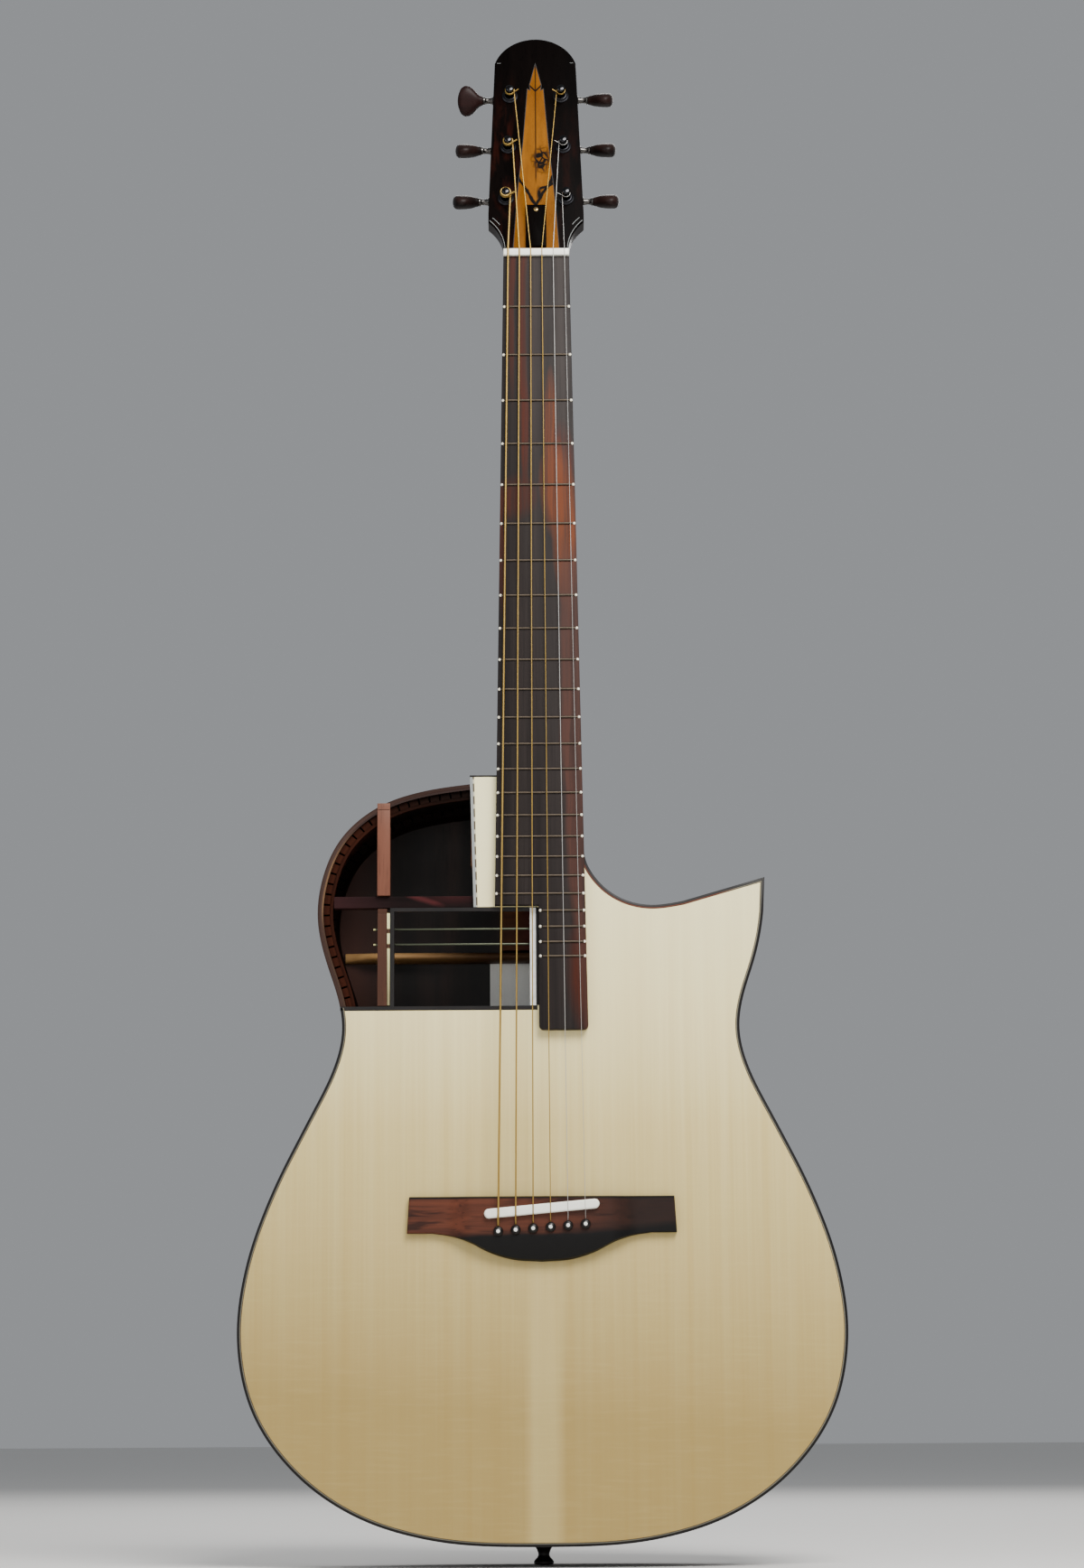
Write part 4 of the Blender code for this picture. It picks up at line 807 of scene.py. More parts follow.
spruce = woodMaterial("spruceTop", spruceLook, spruceChange)
rosewood = woodMaterial("rosewoodBack", rosewoodLook, insideChange)
rosewoodSide = woodMaterial("rosewoodSide", {**rosewoodLook, "direction": "map"}, insideChange)
mahogany = woodMaterial("mahoganyNeck", mahoganyLook)
headplateWood = woodMaterial("headplateWood", headplateLook, headplateChange)
fretboardWood = woodMaterial("fretboardWood", fretboardLook, fretboardChange)
bridgeWood = woodMaterial("bridgeWood", bridgeLook, bridgeChange)
ebony = woodMaterial("ebony", ebonyLook)
upperUpright = woodMaterial("upperUpright", uprightLook)
lowerUpright = woodMaterial("lowerUpright", tinted(uprightLook, (51, 26, 16), (71, 41, 27), (44, 22, 14),
                                                   (36, 18, 12)))
crossBar = woodMaterial("crosspiece", crossBarLook, crossBarChange)
rimTop = woodMaterial("rimEdge", rimTopLook)
rimLineWood = woodMaterial("rimLine", tinted(goldenLook, (92, 66, 44), (118, 90, 62), (76, 53, 35),
                                             direction="map"), rimLineChange)
lining = woodMaterial("kerfedLining", liningLook)
# The back lining is a darker copy of the top lining: painted shade deep inside the body.
darkLining = woodMaterial("darkLining", tinted(liningLook, (14, 9, 7), (24, 14, 11), (23, 9, 5)))
golden = woodMaterial("goldenSpruce", goldenLook)
blockWood = woodMaterial("blockWood", blockLook)
buttonWood = woodMaterial("buttonWood", buttonLook)
faceButtonWood = woodMaterial("redButtonWood", faceButtonLook, ringsChange)
spalted = woodMaterial("spaltedInlay", inlayLook, inlayChange)
creamWood = woodMaterial("creamLine", tinted(goldenLook, (208, 202, 144), (228, 224, 170), (184, 172, 114),
                                             direction="z"), creamChange)
greyWood = woodMaterial("greyLine", tinted(goldenLook, (138, 142, 142), (162, 166, 165), (112, 114, 112),
                                           (120, 120, 116), direction="z"))
purflingWood = woodMaterial("purflingLine", tinted(goldenLook, (92, 90, 78), (120, 117, 102), (76, 74, 64),
                                                   (70, 68, 58), direction="map"), purflingChange)
blackFibre = woodMaterial("blackBinding", {**ebonyLook, "direction": "map", "roughness": 0.45})
# Dark base colour: painted dark reflection, so the posts show only small highlights.
steel = metalMaterial("polishedSteel", (0.030, 0.030, 0.032), 0.13)
# Very dark nickel for the housings and washers.
darkSteel = metalMaterial("agedNickel", (0.022, 0.022, 0.025), 0.34, bump=0.1)
shaftSteel = metalMaterial("shaftNickel", (0.085, 0.08, 0.076), 0.26)
# Dark base colour: painted dark reflection of dim surroundings on the fret wire.
fretWire = metalMaterial("fretWire", (0.090, 0.072, 0.055), 0.42)
# Pale metal for small domes on the fret ends: painted glints.
fretEndMetal = metalMaterial("fretEnds", (0.95, 0.90, 0.74), 0.45, metallic=0.3)
brass = metalMaterial("brass", (0.50, 0.34, 0.13), 0.25)
plainString = metalMaterial("plainSteelString", (0.48, 0.47, 0.45), 0.42, metallic=0.6)
rodMetal = otherMaterial("rodMetal", paintRod, roughness=0.36, metallic=0.8, bumpDepth=0.00002)
woundString = otherMaterial("bronzeWound", paintWinding, "UV", roughness=0.42, metallic=0.8, bump=0.4,
                            bumpDepth=0.00005)
pearl = otherMaterial("pearl", paintPearl, roughness=0.22, coat=0.4, coatRoughness=0.08, bump=0.05)
bone = otherMaterial("bone", paintBone, roughness=0.34, coat=0.2, bump=0.05)
paper = otherMaterial("paper", paintPaper, roughness=0.8, bump=0.2, specular=0.3)
dashes = otherMaterial("dashPurfling", paintDashes, roughness=0.45, specular=0.3)
print("materials ready")
makeStage()


# Body

body = {
    "scaleLength": 0.650,
    "pastFret": 0.0034,
    "length": 0.5099,
    "stripHalf": 0.0467, "stripLow": 0.0445,
    "bouts": (
        (0.0800, 0.9890), (0.1168, 0.9671), (0.1551, 0.9206), (0.1914, 0.8276), (0.2012, 0.7337),
        (0.1952, 0.6403), (0.1785, 0.5476), (0.1545, 0.4530), (0.1369, 0.3830), (0.1314, 0.3375),
        (0.1355, 0.2905), (0.1434, 0.2473), (0.1500, 0.1826),
    ),
    "horn": (0.1508, 0.1375),
    "shoulder": ((0.1471, 0.1408), (0.1346, 0.0828), (0.1097, 0.0406), (0.0739, 0.0178), (0.0470, 0.0108)),
    "cutaway": (
        (0.0957, 0.1687), (0.0768, 0.1745), (0.0628, 0.1712), (0.0448, 0.1536), (0.0351, 0.1322),
        (0.0300, 0.1130), (0.0291, 0.0863), (0.0288, 0.0490), (0.0287, 0.0),
    ),
    "depthAtNeck": 0.086, "depthAtTail": 0.100, "domeRadius": 4.5,
    "top": 0.0028, "back": 0.0028, "side": 0.0034,
    "step": 0.003, "tipStraight": 0.0215,
    "binding": 0.0017, "bindingDepth": 0.0058, "purfling": 0.0007, "innerLine": 0.0003,
    "backBindingDepth": 0.0045,
    "windowDown": 0.5228,
    "seam": ((-0.0012, 0.0001), (-0.0010, 0.00018), (0.0010, 0.00018), (0.0012, 0.0001), (0.0012, -0.0005),
             (-0.0012, -0.0005)),
}


def downOfFret(number):
    return body["scaleLength"] * (1.0 - 2.0 ** (-number / 12.0))


bodyTop = downOfFret(14) + body["pastFret"]
boardEnd = downOfFret(20) + 0.0077


def onBody(points, side=1):
    return [(side * x, -(bodyTop + share * body["length"])) for x, share in points]


# Depth of the back's outer face: a straight taper plus a shallow sphere.
def backFace(x, z):
    below = -z - bodyTop
    half = body["length"] / 2
    taper = body["depthAtNeck"] + (body["depthAtTail"] - body["depthAtNeck"]) * below / body["length"]
    return taper + (half ** 2 - (below - half) ** 2 - x ** 2) / (2 * body["domeRadius"])


# Averages each point with its neighbours, more often where there are more passes, and keeps the
# run's two ends, so the curve bends evenly between the points it was drawn from.
def relax(run, passes):
    for _ in range(passes):
        run = np.concatenate([run[:1], (run[:-2] + 2 * run[1:-1] + run[2:]) / 4, run[-1:]])
    return run


def bodyRuns():
    treble = onBody((body["horn"], *reversed(body["bouts"])))
    bass = onBody((*body["bouts"], *body["shoulder"]), side=-1)
    rim = relax(smoothLine(treble + onBody([(0.0, 1.0)]) + bass, body["step"]), 24)
    inner = relax(smoothLine(onBody(reversed(body["cutaway"])), body["step"]), 10)
    last = onBody([body["horn"]])
    straight = smoothLine([inner[-1], *last], body["step"])[1:]
    cutaway = np.concatenate([inner, straight])
    tip = np.array(last[0])
    far = [np.linalg.norm(run - tip, axis=1) > body["tipStraight"] for run in (rim, cutaway)]
    far[0][0] = far[1][-1] = True
    return rim[far[0]], cutaway[far[1]]


rimRun, cutawayRun = bodyRuns()
tailIndex = int(np.argmin(rimRun[:, 1]))
rimLoop = np.concatenate([rimRun, cutawayRun[:-1]])
rimMitre = mitres(rimLoop)
rimCount = len(rimRun)
windowIndex = tailIndex + int(np.argmax(rimRun[tailIndex:, 1] > -body["windowDown"]))


# Points of the rim and their mitres at whole or broken indices, straight between two points.
def rimAt(places):
    low = np.floor(places).astype(int)
    share = (places - low)[:, None]
    near, far = low % len(rimLoop), (low + 1) % len(rimLoop)
    return [run[near] * (1 - share) + run[far] * share for run in (rimLoop, rimMitre)]


# A closed section of inset and depth carried along part of the rim. Depths are from y = 0, or from
# the back's outer face where followsBack is set.
def bandMesh(indices, section, followsBack=()):
    base, inwards = rimAt(np.asarray(indices, float))
    columns = []
    for number, (inset, depth) in enumerate(section):
        x, z = (base + inset * inwards).T
        columns.append(xyz(x, depth + (backFace(x, z) if number in followsBack else 0.0), z))
    return gridMesh(np.stack(columns, axis=1))


# A section of x and lift carried along z on the back's outer face, or at a step from it.
def backStrip(z, section, step=0.0):
    return gridMesh(np.stack([xyz(x, backFace(x, z) + step + lift, z) for x, lift in section], axis=1))


boundRun = np.arange(rimCount, len(rimLoop) + windowIndex + 1)     # cutaway, treble, tail, to the window
openRun = np.arange(windowIndex, rimCount)


def makeTop():
    lines = ((body["binding"], body["purfling"]), (body["binding"] + body["purfling"], body["innerLine"]))
    inset = sum(lines[1]) + 0.00005
    keep = np.arange(rimCount + 3, len(rimLoop) + windowIndex) % len(rimLoop)
    edge = rimLoop[keep] + inset * rimMitre[keep]
    windowLow = -body["windowDown"]
    edge = edge[: len(edge) - int((edge[-12:, 1] > windowLow).sum())]
    beside = rimRun[tailIndex:windowIndex + 3]
    bassEdge = np.interp(windowLow, beside[:, 1], beside[:, 0]) + inset
    topZ, lowZ = -bodyTop - 0.0008, -boardEnd - 0.0003

    # Corners of a line that leans with the strip's left edge, between two distances from it.
    def leaning(near, far):
        high, low = body["stripHalf"], body["stripLow"]
        return [(near - high, topZ), (far - high, topZ), (far - low, lowZ), (near - low, lowZ)]

    inner = leaning(0.0027, 0.0030)
    loop = np.concatenate([edge, [
        (bassEdge, windowLow), (-0.0021, windowLow), (-0.0021, lowZ), inner[3], inner[0],
        (edge[0, 0], topZ)]])
    levels = [(0.0, 0.0), (0.0, body["top"])]
    addPiece("soundboardTop", plateMesh(loop, levels), spruce, ["soundboard"], sharp=20)

    width, depth, lip = body["binding"], body["bindingDepth"], 0.0004
    section = [(lip, 0.0), (width, 0.0), (width, depth), (0.0, depth), (0.0, lip)]
    addPiece("topBinding", bandMesh(boundRun, section), blackFibre, sharp=50)
    names, looks = ("topPurfling", "topInnerLine"), (purflingWood, lowerUpright)
    for name, (start, wide), material in zip(names, lines, looks):
        line = [(start, -0.00002), (start + wide, -0.00002), (start + wide, 0.0015), (start, 0.0015)]
        addPiece(name, bandMesh(boundRun, line), material)

    for name, near, far, material, slot in (("stripGreyLine", -0.0001, 0.0017, greyWood, "spruce"),
                                            ("stripDashes", 0.0017, 0.0027, dashes, "pearl")):
        line = plateMesh(leaning(near, far), [(0.0, -0.00003), (0.0, body["top"])])
        addPiece(name, line, material)
    strip = barMesh((-0.0470, -0.00005, -bodyTop - 0.0007), (0.0285, body["top"] + 0.0030, -bodyTop + 0.0004),
                    0.0002)
    addPiece("stripTopEdge", strip, blackFibre)
    print("soundboard ready")


# Marks the chosen columns of a grid as the inside of the body, for the wood to read.
def markInside(mesh, chosen, count):
    marked = np.zeros((len(mesh.vertices) // count, count), np.float32)
    marked[:, chosen] = 1.0
    mesh.attributes.new("inside", "FLOAT", "POINT").data.foreach_set("value", marked.ravel())
    return mesh


def makeSides():
    side, width, depth = body["side"], body["binding"] + 0.00005, body["bindingDepth"] + 0.00005
    front = body["top"] + 0.0001
    back = -body["backBindingDepth"] - 0.00005
    inner = -body["back"] - 0.0001
    section = [(0.0, depth), (width, depth), (width, front), (side, front), (side, inner), (width, inner),
               (width, back), (0.0, back)]
    follows = (4, 5, 6, 7)
    cutaway = np.arange(rimCount, len(rimLoop) + 1)
    treble = np.arange(0, tailIndex + 1)
    bass = np.arange(tailIndex, windowIndex + 1)
    for name, run, node in (("cutawaySide", cutaway, "cutaway_side"), ("trebleSide", treble, "treble_side"),
                            ("bassSide", bass, "bass_side")):
        mesh = markInside(bandMesh(run, section, follows), [3, 4], len(section))
        addPiece(name, mesh, rosewoodSide, [node], sharp=50)
    rim = 0.0026
    bout = [(0.0, rim), (side, rim), (side, inner), (width, inner), (width, back), (0.0, back)]
    addPiece("openBoutSide", markInside(bandMesh(openRun, bout, (2, 3, 4, 5)), [1, 2], len(bout)),
             rosewoodSide, sharp=50)
    cap = [(0.0002, rim - 0.0016), (0.0027, rim - 0.0016), (0.0027, rim), (0.0, rim), (0.0, rim - 0.0014)]
    addPiece("openBoutEdge", bandMesh(openRun, cap), rimTop, sharp=50)
    # A golden strip just inside the edge: painted light on the rim's inner wall.
    line = [(0.0027, rim - 0.00165), (0.0038, rim - 0.00165), (0.0038, rim + 0.0003), (0.0027, rim + 0.0003)]
    addPiece("openBoutLine", bandMesh(openRun, line), rimLineWood, sharp=50)
    edge = [(0.0, back + 0.00005), (body["binding"], back + 0.00005), (body["binding"], 0.0), (0.0004, 0.0),
            (0.0, -0.0004)]
    whole = np.arange(0, rimCount)
    ring = np.concatenate([np.arange(rimCount, len(rimLoop)), whole])
    addPiece("backBinding", bandMesh(ring, edge, (0, 1, 2, 3, 4)), blackFibre, sharp=50)
    print("sides ready")


# The back: rings shrink from the rim towards a middle point, and each follows the dome. The outer
# face comes first and the inner one runs back out.
def makeBack():
    inset = body["binding"] + 0.00005
    loop = rimLoop + inset * rimMitre
    centre = np.array([0.0, -0.620])
    shares = np.concatenate([np.linspace(0.004, 0.96, 26), [1.0]])
    rows = []
    for order, lift in ((1, 0.0), (-1, -body["back"])):
        for share in shares[::order]:
            x, z = (centre + share * (loop - centre)).T
            rows.append(xyz(x, backFace(x, z) + lift, z))
    mesh = gridMesh(np.stack(rows))
    marked = np.repeat(np.arange(len(rows)) >= len(shares), len(loop)).astype(np.float32)
    mesh.attributes.new("inside", "FLOAT", "POINT").data.foreach_set("value", marked)
    addPiece("backPlate", mesh, rosewood, ["back_plate"], sharp=40)

    z = np.linspace(-bodyTop - body["length"] + 0.002, -bodyTop - 0.003, 60)
    addPiece("backSeam", backStrip(z, body["seam"]), blackFibre, sharp=50)
    print("back ready")


# Reverse-kerfed lining: blocks of wood with open slots between them, against a thin web. Block k
# runs between two distances along the rim, and its corners are read off the same inset curves.
kerf = {"period": 0.0072, "slot": 0.0013, "outer": 0.0038, "web": 0.0083, "inner": 0.0101, "depth": 0.0135}


def makeLining(name, node, front, back, followsBack, material):
    start = rimCount + int(np.argmax(-cutawayRun[:, 1] > bodyTop + 0.0625))
    shoulder = rimRun[tailIndex + 20:, 0]
    past = np.interp(-body["stripHalf"] - 0.0001, shoulder, np.arange(len(shoulder)))
    stop = len(rimLoop) + tailIndex + 20 + past
    indices = np.append(np.arange(start, stop), stop)
    base, inwards = rimAt(indices)
    middle = base + 0.006 * inwards
    along = stepLengths(middle)
    count = round((along[-1] + kerf["slot"]) / kerf["period"])
    period = (along[-1] + kerf["slot"]) / count
    starts = np.arange(count) * period
    ends = starts + period - kerf["slot"]

    def corner(places, inset, y):
        x, z = [np.interp(places, along, line) for line in (base + inset * inwards).T]
        return xyz(x, y + (backFace(x, z) if followsBack else 0.0), z)

    shape = ((kerf["outer"], front), (kerf["web"], front), (kerf["web"], back), (kerf["outer"], back))
    rings = np.stack([np.stack([corner(p, i, y) for i, y in shape], axis=1) for p in (starts, ends)], axis=1)
    faces = np.array([[0, 1, 5, 4], [1, 2, 6, 5], [2, 3, 7, 6], [3, 0, 4, 7], [3, 2, 1, 0], [4, 5, 6, 7]])
    loops = (faces[None] + 8 * np.arange(count)[:, None, None]).ravel()
    uv = np.stack([np.repeat(starts, 24), np.tile([0.0, 0.01, 0.01, 0.0], 6 * count)], axis=1)
    blocks = arraysToMesh(rings.reshape(-1, 3), loops, np.full(6 * count, 4), uv)
    section = [(kerf["web"] - 0.0002, front), (kerf["inner"], front), (kerf["inner"], (front * 2 + back) / 3),
               (kerf["web"] - 0.0002, back)]
    web = bandMesh(indices, section, (0, 1, 2, 3) if followsBack else ())
    addPiece(name, joinMeshes([blocks, web]), material, [node], sharp=30)


sheet = {"left": -0.035, "right": 0.039, "top": -0.479, "foot": -0.543, "lift": 0.00035, "thick": 0.0002}


# The label: a thin sheet that follows the back. Each row runs across its front and back again.
def makeLabel():
    x, z = np.meshgrid(np.linspace(sheet["left"], sheet["right"], 12),
                       np.linspace(sheet["top"], sheet["foot"], 12))
    y = backFace(x, z) - body["back"] - sheet["lift"]
    points = np.concatenate([xyz(x, y, z), xyz(x, y + sheet["thick"], z)[:, ::-1]], axis=1)
    addPiece("label", gridMesh(points), paper, sharp=50)


# A CAD node keeps its shape: its loose triangles are joined, its edges rounded and its wood shown.
def finishNode(name, material, radius):
    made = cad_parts[name]
    for held in made.material_slots:
        held.material = material
    weld = made.modifiers.new("weld", "WELD")
    weld.merge_threshold = 0.00001
    if radius:
        soft = made.modifiers.new("soft", "BEVEL")
        soft.width = radius
        soft.segments = 2
        soft.limit_method = "ANGLE"
        soft.angle_limit = math.radians(40)


window = {
    "uprightLeft": -0.1093, "uprightRight": -0.1006, "uprightLow": -0.44506, "frontHigh": -0.3862,
    "webHigh": -0.3975, "webDepth": 0.0110, "tongueLow": -0.3870, "tongueHigh": -0.3822, "front": 0.0003,
    "cream": ((-0.10265, -0.4570), (-0.10060, -0.4570), (-0.10075, -0.5192), (-0.10245, -0.5192)),
    "edge": ((-0.0030, -0.00006, -0.5196), (-0.0009, 0.0029, -0.4536)),
}
braces = {"places": (0.2206, 0.4217, 0.6393, 0.8531), "half": 0.0036, "height": 0.0125, "taper": 0.028,
          "endHeight": 0.0035, "clear": 0.0118, "stripHalf": 0.0070, "strip": 0.0015}


# Back braces: half a softened ellipse carried across the back, lower towards both rims, and the
# flat strip along the back's seam.
def makeBackBraces():
    a = np.linspace(0.0, math.pi, 13)
    places = [-(bodyTop + share * body["length"]) for share in braces["places"]]
    meshes = []
    for z in places:
        bass = np.interp(z, rimRun[tailIndex:, 1], rimRun[tailIndex:, 0]) + braces["clear"]
        treble = np.interp(-z, -rimRun[:tailIndex + 1, 1], rimRun[:tailIndex + 1, 0]) - braces["clear"]
        x = np.linspace(bass, treble, 70)[:, None]
        near = eased(np.minimum(x - bass, treble - x) / braces["taper"])
        height = braces["endHeight"] + (braces["height"] - braces["endHeight"]) * near
        across = z + braces["half"] * np.cos(a)
        y = backFace(x, across) - body["back"] - 0.0001 - height * np.sin(a) ** 0.7
        meshes.append(gridMesh(xyz(x, y, across)))
    half, thick = braces["stripHalf"], braces["strip"]
    section = ((-half, -0.0001), (-half, -0.8 * thick), (-0.9 * half, -thick), (0.9 * half, -thick),
               (half, -0.8 * thick), (half, -0.0001))
    meshes.append(backStrip(np.linspace(places[-1], places[0], 60), section, -body["back"]))
    addPiece("backBraces", joinMeshes(meshes), golden, ["back_braces"], sharp=50)


def makeInside():
    under, over = body["top"] + 0.0003, -body["back"] - 0.0002
    makeLining("topLining", "top_lining", under, under + kerf["depth"], False, lining)
    makeLining("backLining", "back_lining", over, over - kerf["depth"], True, darkLining)
    makeLabel()
    for name, material, radius in (
            ("neck_block", blockWood, 0.0), ("tail_block", blockWood, 0.0),
            ("soundboard_braces", golden, 0.0), ("cross_bar", crossBar, 0.0004),
            ("lower_bar", lowerUpright, 0.0004), ("ebony_frame", ebony, 0.0), ("pearl_bar", pearl, 0.0),
            ("truss_rod", steel, 0.0), ("truss_rod_nut", brass, 0.0)):
        finishNode(name, material, radius)
    makeBackBraces()
    left, right = window["uprightLeft"], window["uprightRight"]
    low, front = window["uprightLow"], window["front"]
    web = (left + 0.0001, 0.0018, low + 0.0001), (right - 0.0001, window["webDepth"], window["webHigh"])
    upright = [barMesh((left, front, low), (right, body["top"], window["frontHigh"]), 0.0003),
               barMesh(*web, 0.0003),
               barMesh((left, front, window["tongueLow"]), (right, 0.0009, window["tongueHigh"]), 0.0002)]
    addPiece("upperBar", joinMeshes(upright), upperUpright, ["upper_bar"])
    cream = plateMesh(window["cream"], roundedLevels(0.0004, 0.0080, 0.0002))
    addPiece("creamLine", cream, creamWood)
    addPiece("windowEdge", barMesh(*window["edge"], 0.0002), ebony)
    print("inside ready")


# Rods: round bars with slightly domed ends.
rods = {"radius": 0.00075, "depth": 0.0042, "bassEnd": -0.1120, "trebleEnd": -0.00465, "frets": (22, 23)}


def makeRods():
    r, length = rods["radius"], rods["trebleEnd"] - rods["bassEnd"]
    profile = [(0.0001, 0.0), (r * 0.8, 0.0001), (r, 0.0004), (r, length - 0.0004),
               (r * 0.8, length - 0.0001), (0.0001, length)]
    for name, node, fret in zip(("upperRod", "lowerRod"), ("rod_upper", "rod_lower"), rods["frets"]):
        matrix = placeAt(rods["bassEnd"], rods["depth"], -downOfFret(fret), axis="Y")
        addPiece(name, latheMesh(profile, 16, matrix), rodMetal, [node])


# Neck

neck = {
    "nutHalf": 0.0227, "widening": 0.01678, "depthNut": 0.0158, "depthHeel": 0.0180,
    "headAngle": math.radians(14), "headStart": 0.0052, "headThickness": 0.0126,
    "wingHalf": 0.0332, "wingLow": 0.0240, "wingHigh": 0.0300, "cornerHalf": 0.0287, "corner": 0.1558,
    "headLength": 0.1765,
    "heel": (           # depth, half width and reach along the neck
        (0.0135, 0.0262, 0.098), (0.0160, 0.0255, 0.074), (0.0185, 0.0243, 0.060), (0.0240, 0.0220, 0.045),
        (0.0360, 0.0188, 0.030), (0.0540, 0.0155, 0.021), (0.0740, 0.0130, 0.017), (0.0845, 0.0121, 0.0160),
        (0.0857, 0.0112, 0.0150),
    ),
}
headMatrix = placeAt(0, 0, neck["headStart"], -neck["headAngle"])
headNormal = headMatrix.to_3x3() @ Vector((0, 1, 0))
joint = -(bodyTop - 0.0003)


def boardHalf(down):
    return neck["nutHalf"] + neck["widening"] * down


# An arc beside the nut that is square to it where it starts: x = half + r - (r + inset) cos a and
# z = (r + inset) sin a. r is the cove's radius, so an inset moves the arc into the headstock.
def coveArc(inset=0.0, low=0.0, high=1.0, steps=24):
    half = neck["nutHalf"] - 0.0003
    wide, tall = neck["wingHalf"] - half, neck["wingLow"]
    r = (tall ** 2 + wide ** 2) / (2 * wide)
    a = np.linspace(low, high, steps) * math.asin(tall / r)
    return np.stack([half + r - (r + inset) * np.cos(a), (r + inset) * np.sin(a)], axis=1)


# Half width of the headstock at heights up its face: a cove, a straight taper and a round top.
def headOutline():
    cove = coveArc()
    rise = neck["headLength"] - neck["corner"]
    radius = (neck["cornerHalf"] ** 2 + rise ** 2) / (2 * rise)
    b = np.linspace(math.asin(neck["cornerHalf"] / radius), 0.0, 28)
    dome = np.stack([radius * np.sin(b), neck["headLength"] - radius + radius * np.cos(b)], axis=1)
    straight = np.linspace((neck["wingHalf"], neck["wingHigh"]), dome[0], 9)[:-1]
    return np.concatenate([cove, straight, dome])


# Rings of one section along the neck and up the headstock. The section is half a superellipse,
# x as a power of the cosine and y as a power of the sine, which turns from round to square
# across the nut.
def makeNeck():
    angle = np.linspace(0.0, math.pi, 33)
    cosine, sine = np.cos(angle), np.sin(angle)

    def ring(half, depth, squareness, z):
        px, py = 0.80 - 0.66 * squareness, 0.85 - 0.72 * squareness
        return xyz(-half * np.sign(cosine) * np.abs(cosine) ** px, depth * sine ** py, z)

    rows = []
    zs = np.concatenate([np.linspace(joint, -0.06, 40), np.linspace(-0.055, neck["headStart"] - 0.0002, 24)])
    for z in zs:
        down = max(0.0, -z)
        share = min(1.0, down / -joint)
        depth = neck["depthNut"] + (neck["depthHeel"] - neck["depthNut"]) * share
        squareness = eased((z + 0.022) / 0.027)
        swell = 0.0022 * math.exp(-((z + 0.004) / 0.010) ** 2)
        rows.append(ring(boardHalf(down), depth * (1 - 0.10 * squareness) + swell, squareness, z))
    for half, height in headOutline()[1:-1]:
        rows.append(moved(ring(half, neck["headThickness"], 1.0, max(height, 0.0008)), headMatrix))
    addPiece("neckShaft", gridMesh(np.stack(rows)), mahogany, ["neck"], sharp=38)

    sections = smoothLine(neck["heel"], 0.0022)
    a = np.linspace(0.0, math.pi, 41)
    rows = [xyz(-half * np.cos(a), depth, joint + reach * np.sin(a) ** 0.8)
            for depth, half, reach in sections]
    addPiece("neckHeel", gridMesh(np.stack(rows)), mahogany, sharp=45)
    cap = neck["heel"][-1]
    loop = [(-cap[1] * math.cos(t) * 1.02, joint + 0.0001 + cap[2] * 1.02 * math.sin(t) ** 0.8)
            for t in np.linspace(0.0, math.pi, 41)]
    addPiece("heelCap", plateMesh(loop, [(0.0, 0.0856), (0.0, 0.0864), (0.0004, 0.0869)]), ebony)
    print("neck ready")


def makeHeadstockFace():
    outline = headOutline()
    loop = np.concatenate([outline, outline[-2::-1] * np.array([-1, 1])])
    loop[:, 1] = np.maximum(loop[:, 1], 0.0003)
    keep = np.append(True, np.linalg.norm(np.diff(loop, axis=0), axis=1) > 0.00005)
    levels = roundedLevels(-0.0023, 0.0002, 0.0006, flatBack=True)
    addPiece("headVeneer", plateMesh(loop[keep], levels, headMatrix), headplateWood,
             ["headplate"], sharp=50)

    profile = np.array(inlay["profile"])
    mirror = profile[::-1] * np.array([-1, 1])
    shape = np.concatenate([profile, mirror[1:]])
    mesh = plateMesh(shape, [(0.0, -0.00238), (0.0, -0.0010)], headMatrix)
    addPiece("headInlay", mesh, spalted, ["headstock_inlay"], sharp=30)
    mesh = plateMesh(shape, [(-0.0005, -0.00234), (-0.0005, -0.0010)], headMatrix)
    addPiece("inlayLine", mesh, blackFibre)

    cover, back = trussCover, -0.0026
    loop = roundedLoop(-cover["half"], cover["half"], cover["low"], cover["high"], 0.0006)
    levels = roundedLevels(back - cover["thickness"], back + 0.0002, 0.0005, flatBack=True)
    addPiece("trussCover", plateMesh(loop, levels, headMatrix), headplateWood, ["truss_rod_cover"],
             sharp=50)
    matrix = headMatrix @ placeAt(0, back - cover["thickness"], cover["screw"], 0.0)
    makeScrew("coverScrew", matrix, 0.0018, brass, ["cover_screw"])

    # Inlaid arcs inside the coves, by inset and end angles, and a short mark near each upper corner.
    for side, label in ((-1, "Bass"), (1, "Treble")):
        for number, (inset, low, high) in enumerate(((0.0008, 0.08, 0.98), (0.0038, 0.73, 0.98)), 1):
            arc = coveArc(inset, low, high, 26)
            path = moved(xyz(side * arc[:, 0], -0.00228, arc[:, 1]), headMatrix)
            addPiece(f"wingLine{label}{number}", tubeMesh(path, 0.00018, 8, headNormal), greyWood)
        low, high = (side * 0.0258 - 0.0013, -0.00234, 0.1558), (side * 0.0258 + 0.0013, -0.0015, 0.15605)
        addPiece(f"cornerMark{label}", barMesh(low, high, 0.0001, headMatrix), greyWood)
    print("headstock ready")


inlay = {"profile": (
    (0.0158, 0.0004), (0.0150, 0.0120), (0.0139, 0.0300), (0.0117, 0.0580), (0.0101, 0.0740),
    (0.0086, 0.0900), (0.0070, 0.1120), (0.0055, 0.1336), (0.0034, 0.1322), (0.0040, 0.1370),
    (0.0022, 0.1450), (0.0008, 0.1510), (0.0, 0.1543),
)}
trussCover = {"half": 0.0071, "low": 0.0020, "high": 0.0360, "thickness": 0.0018, "screw": 0.0320}
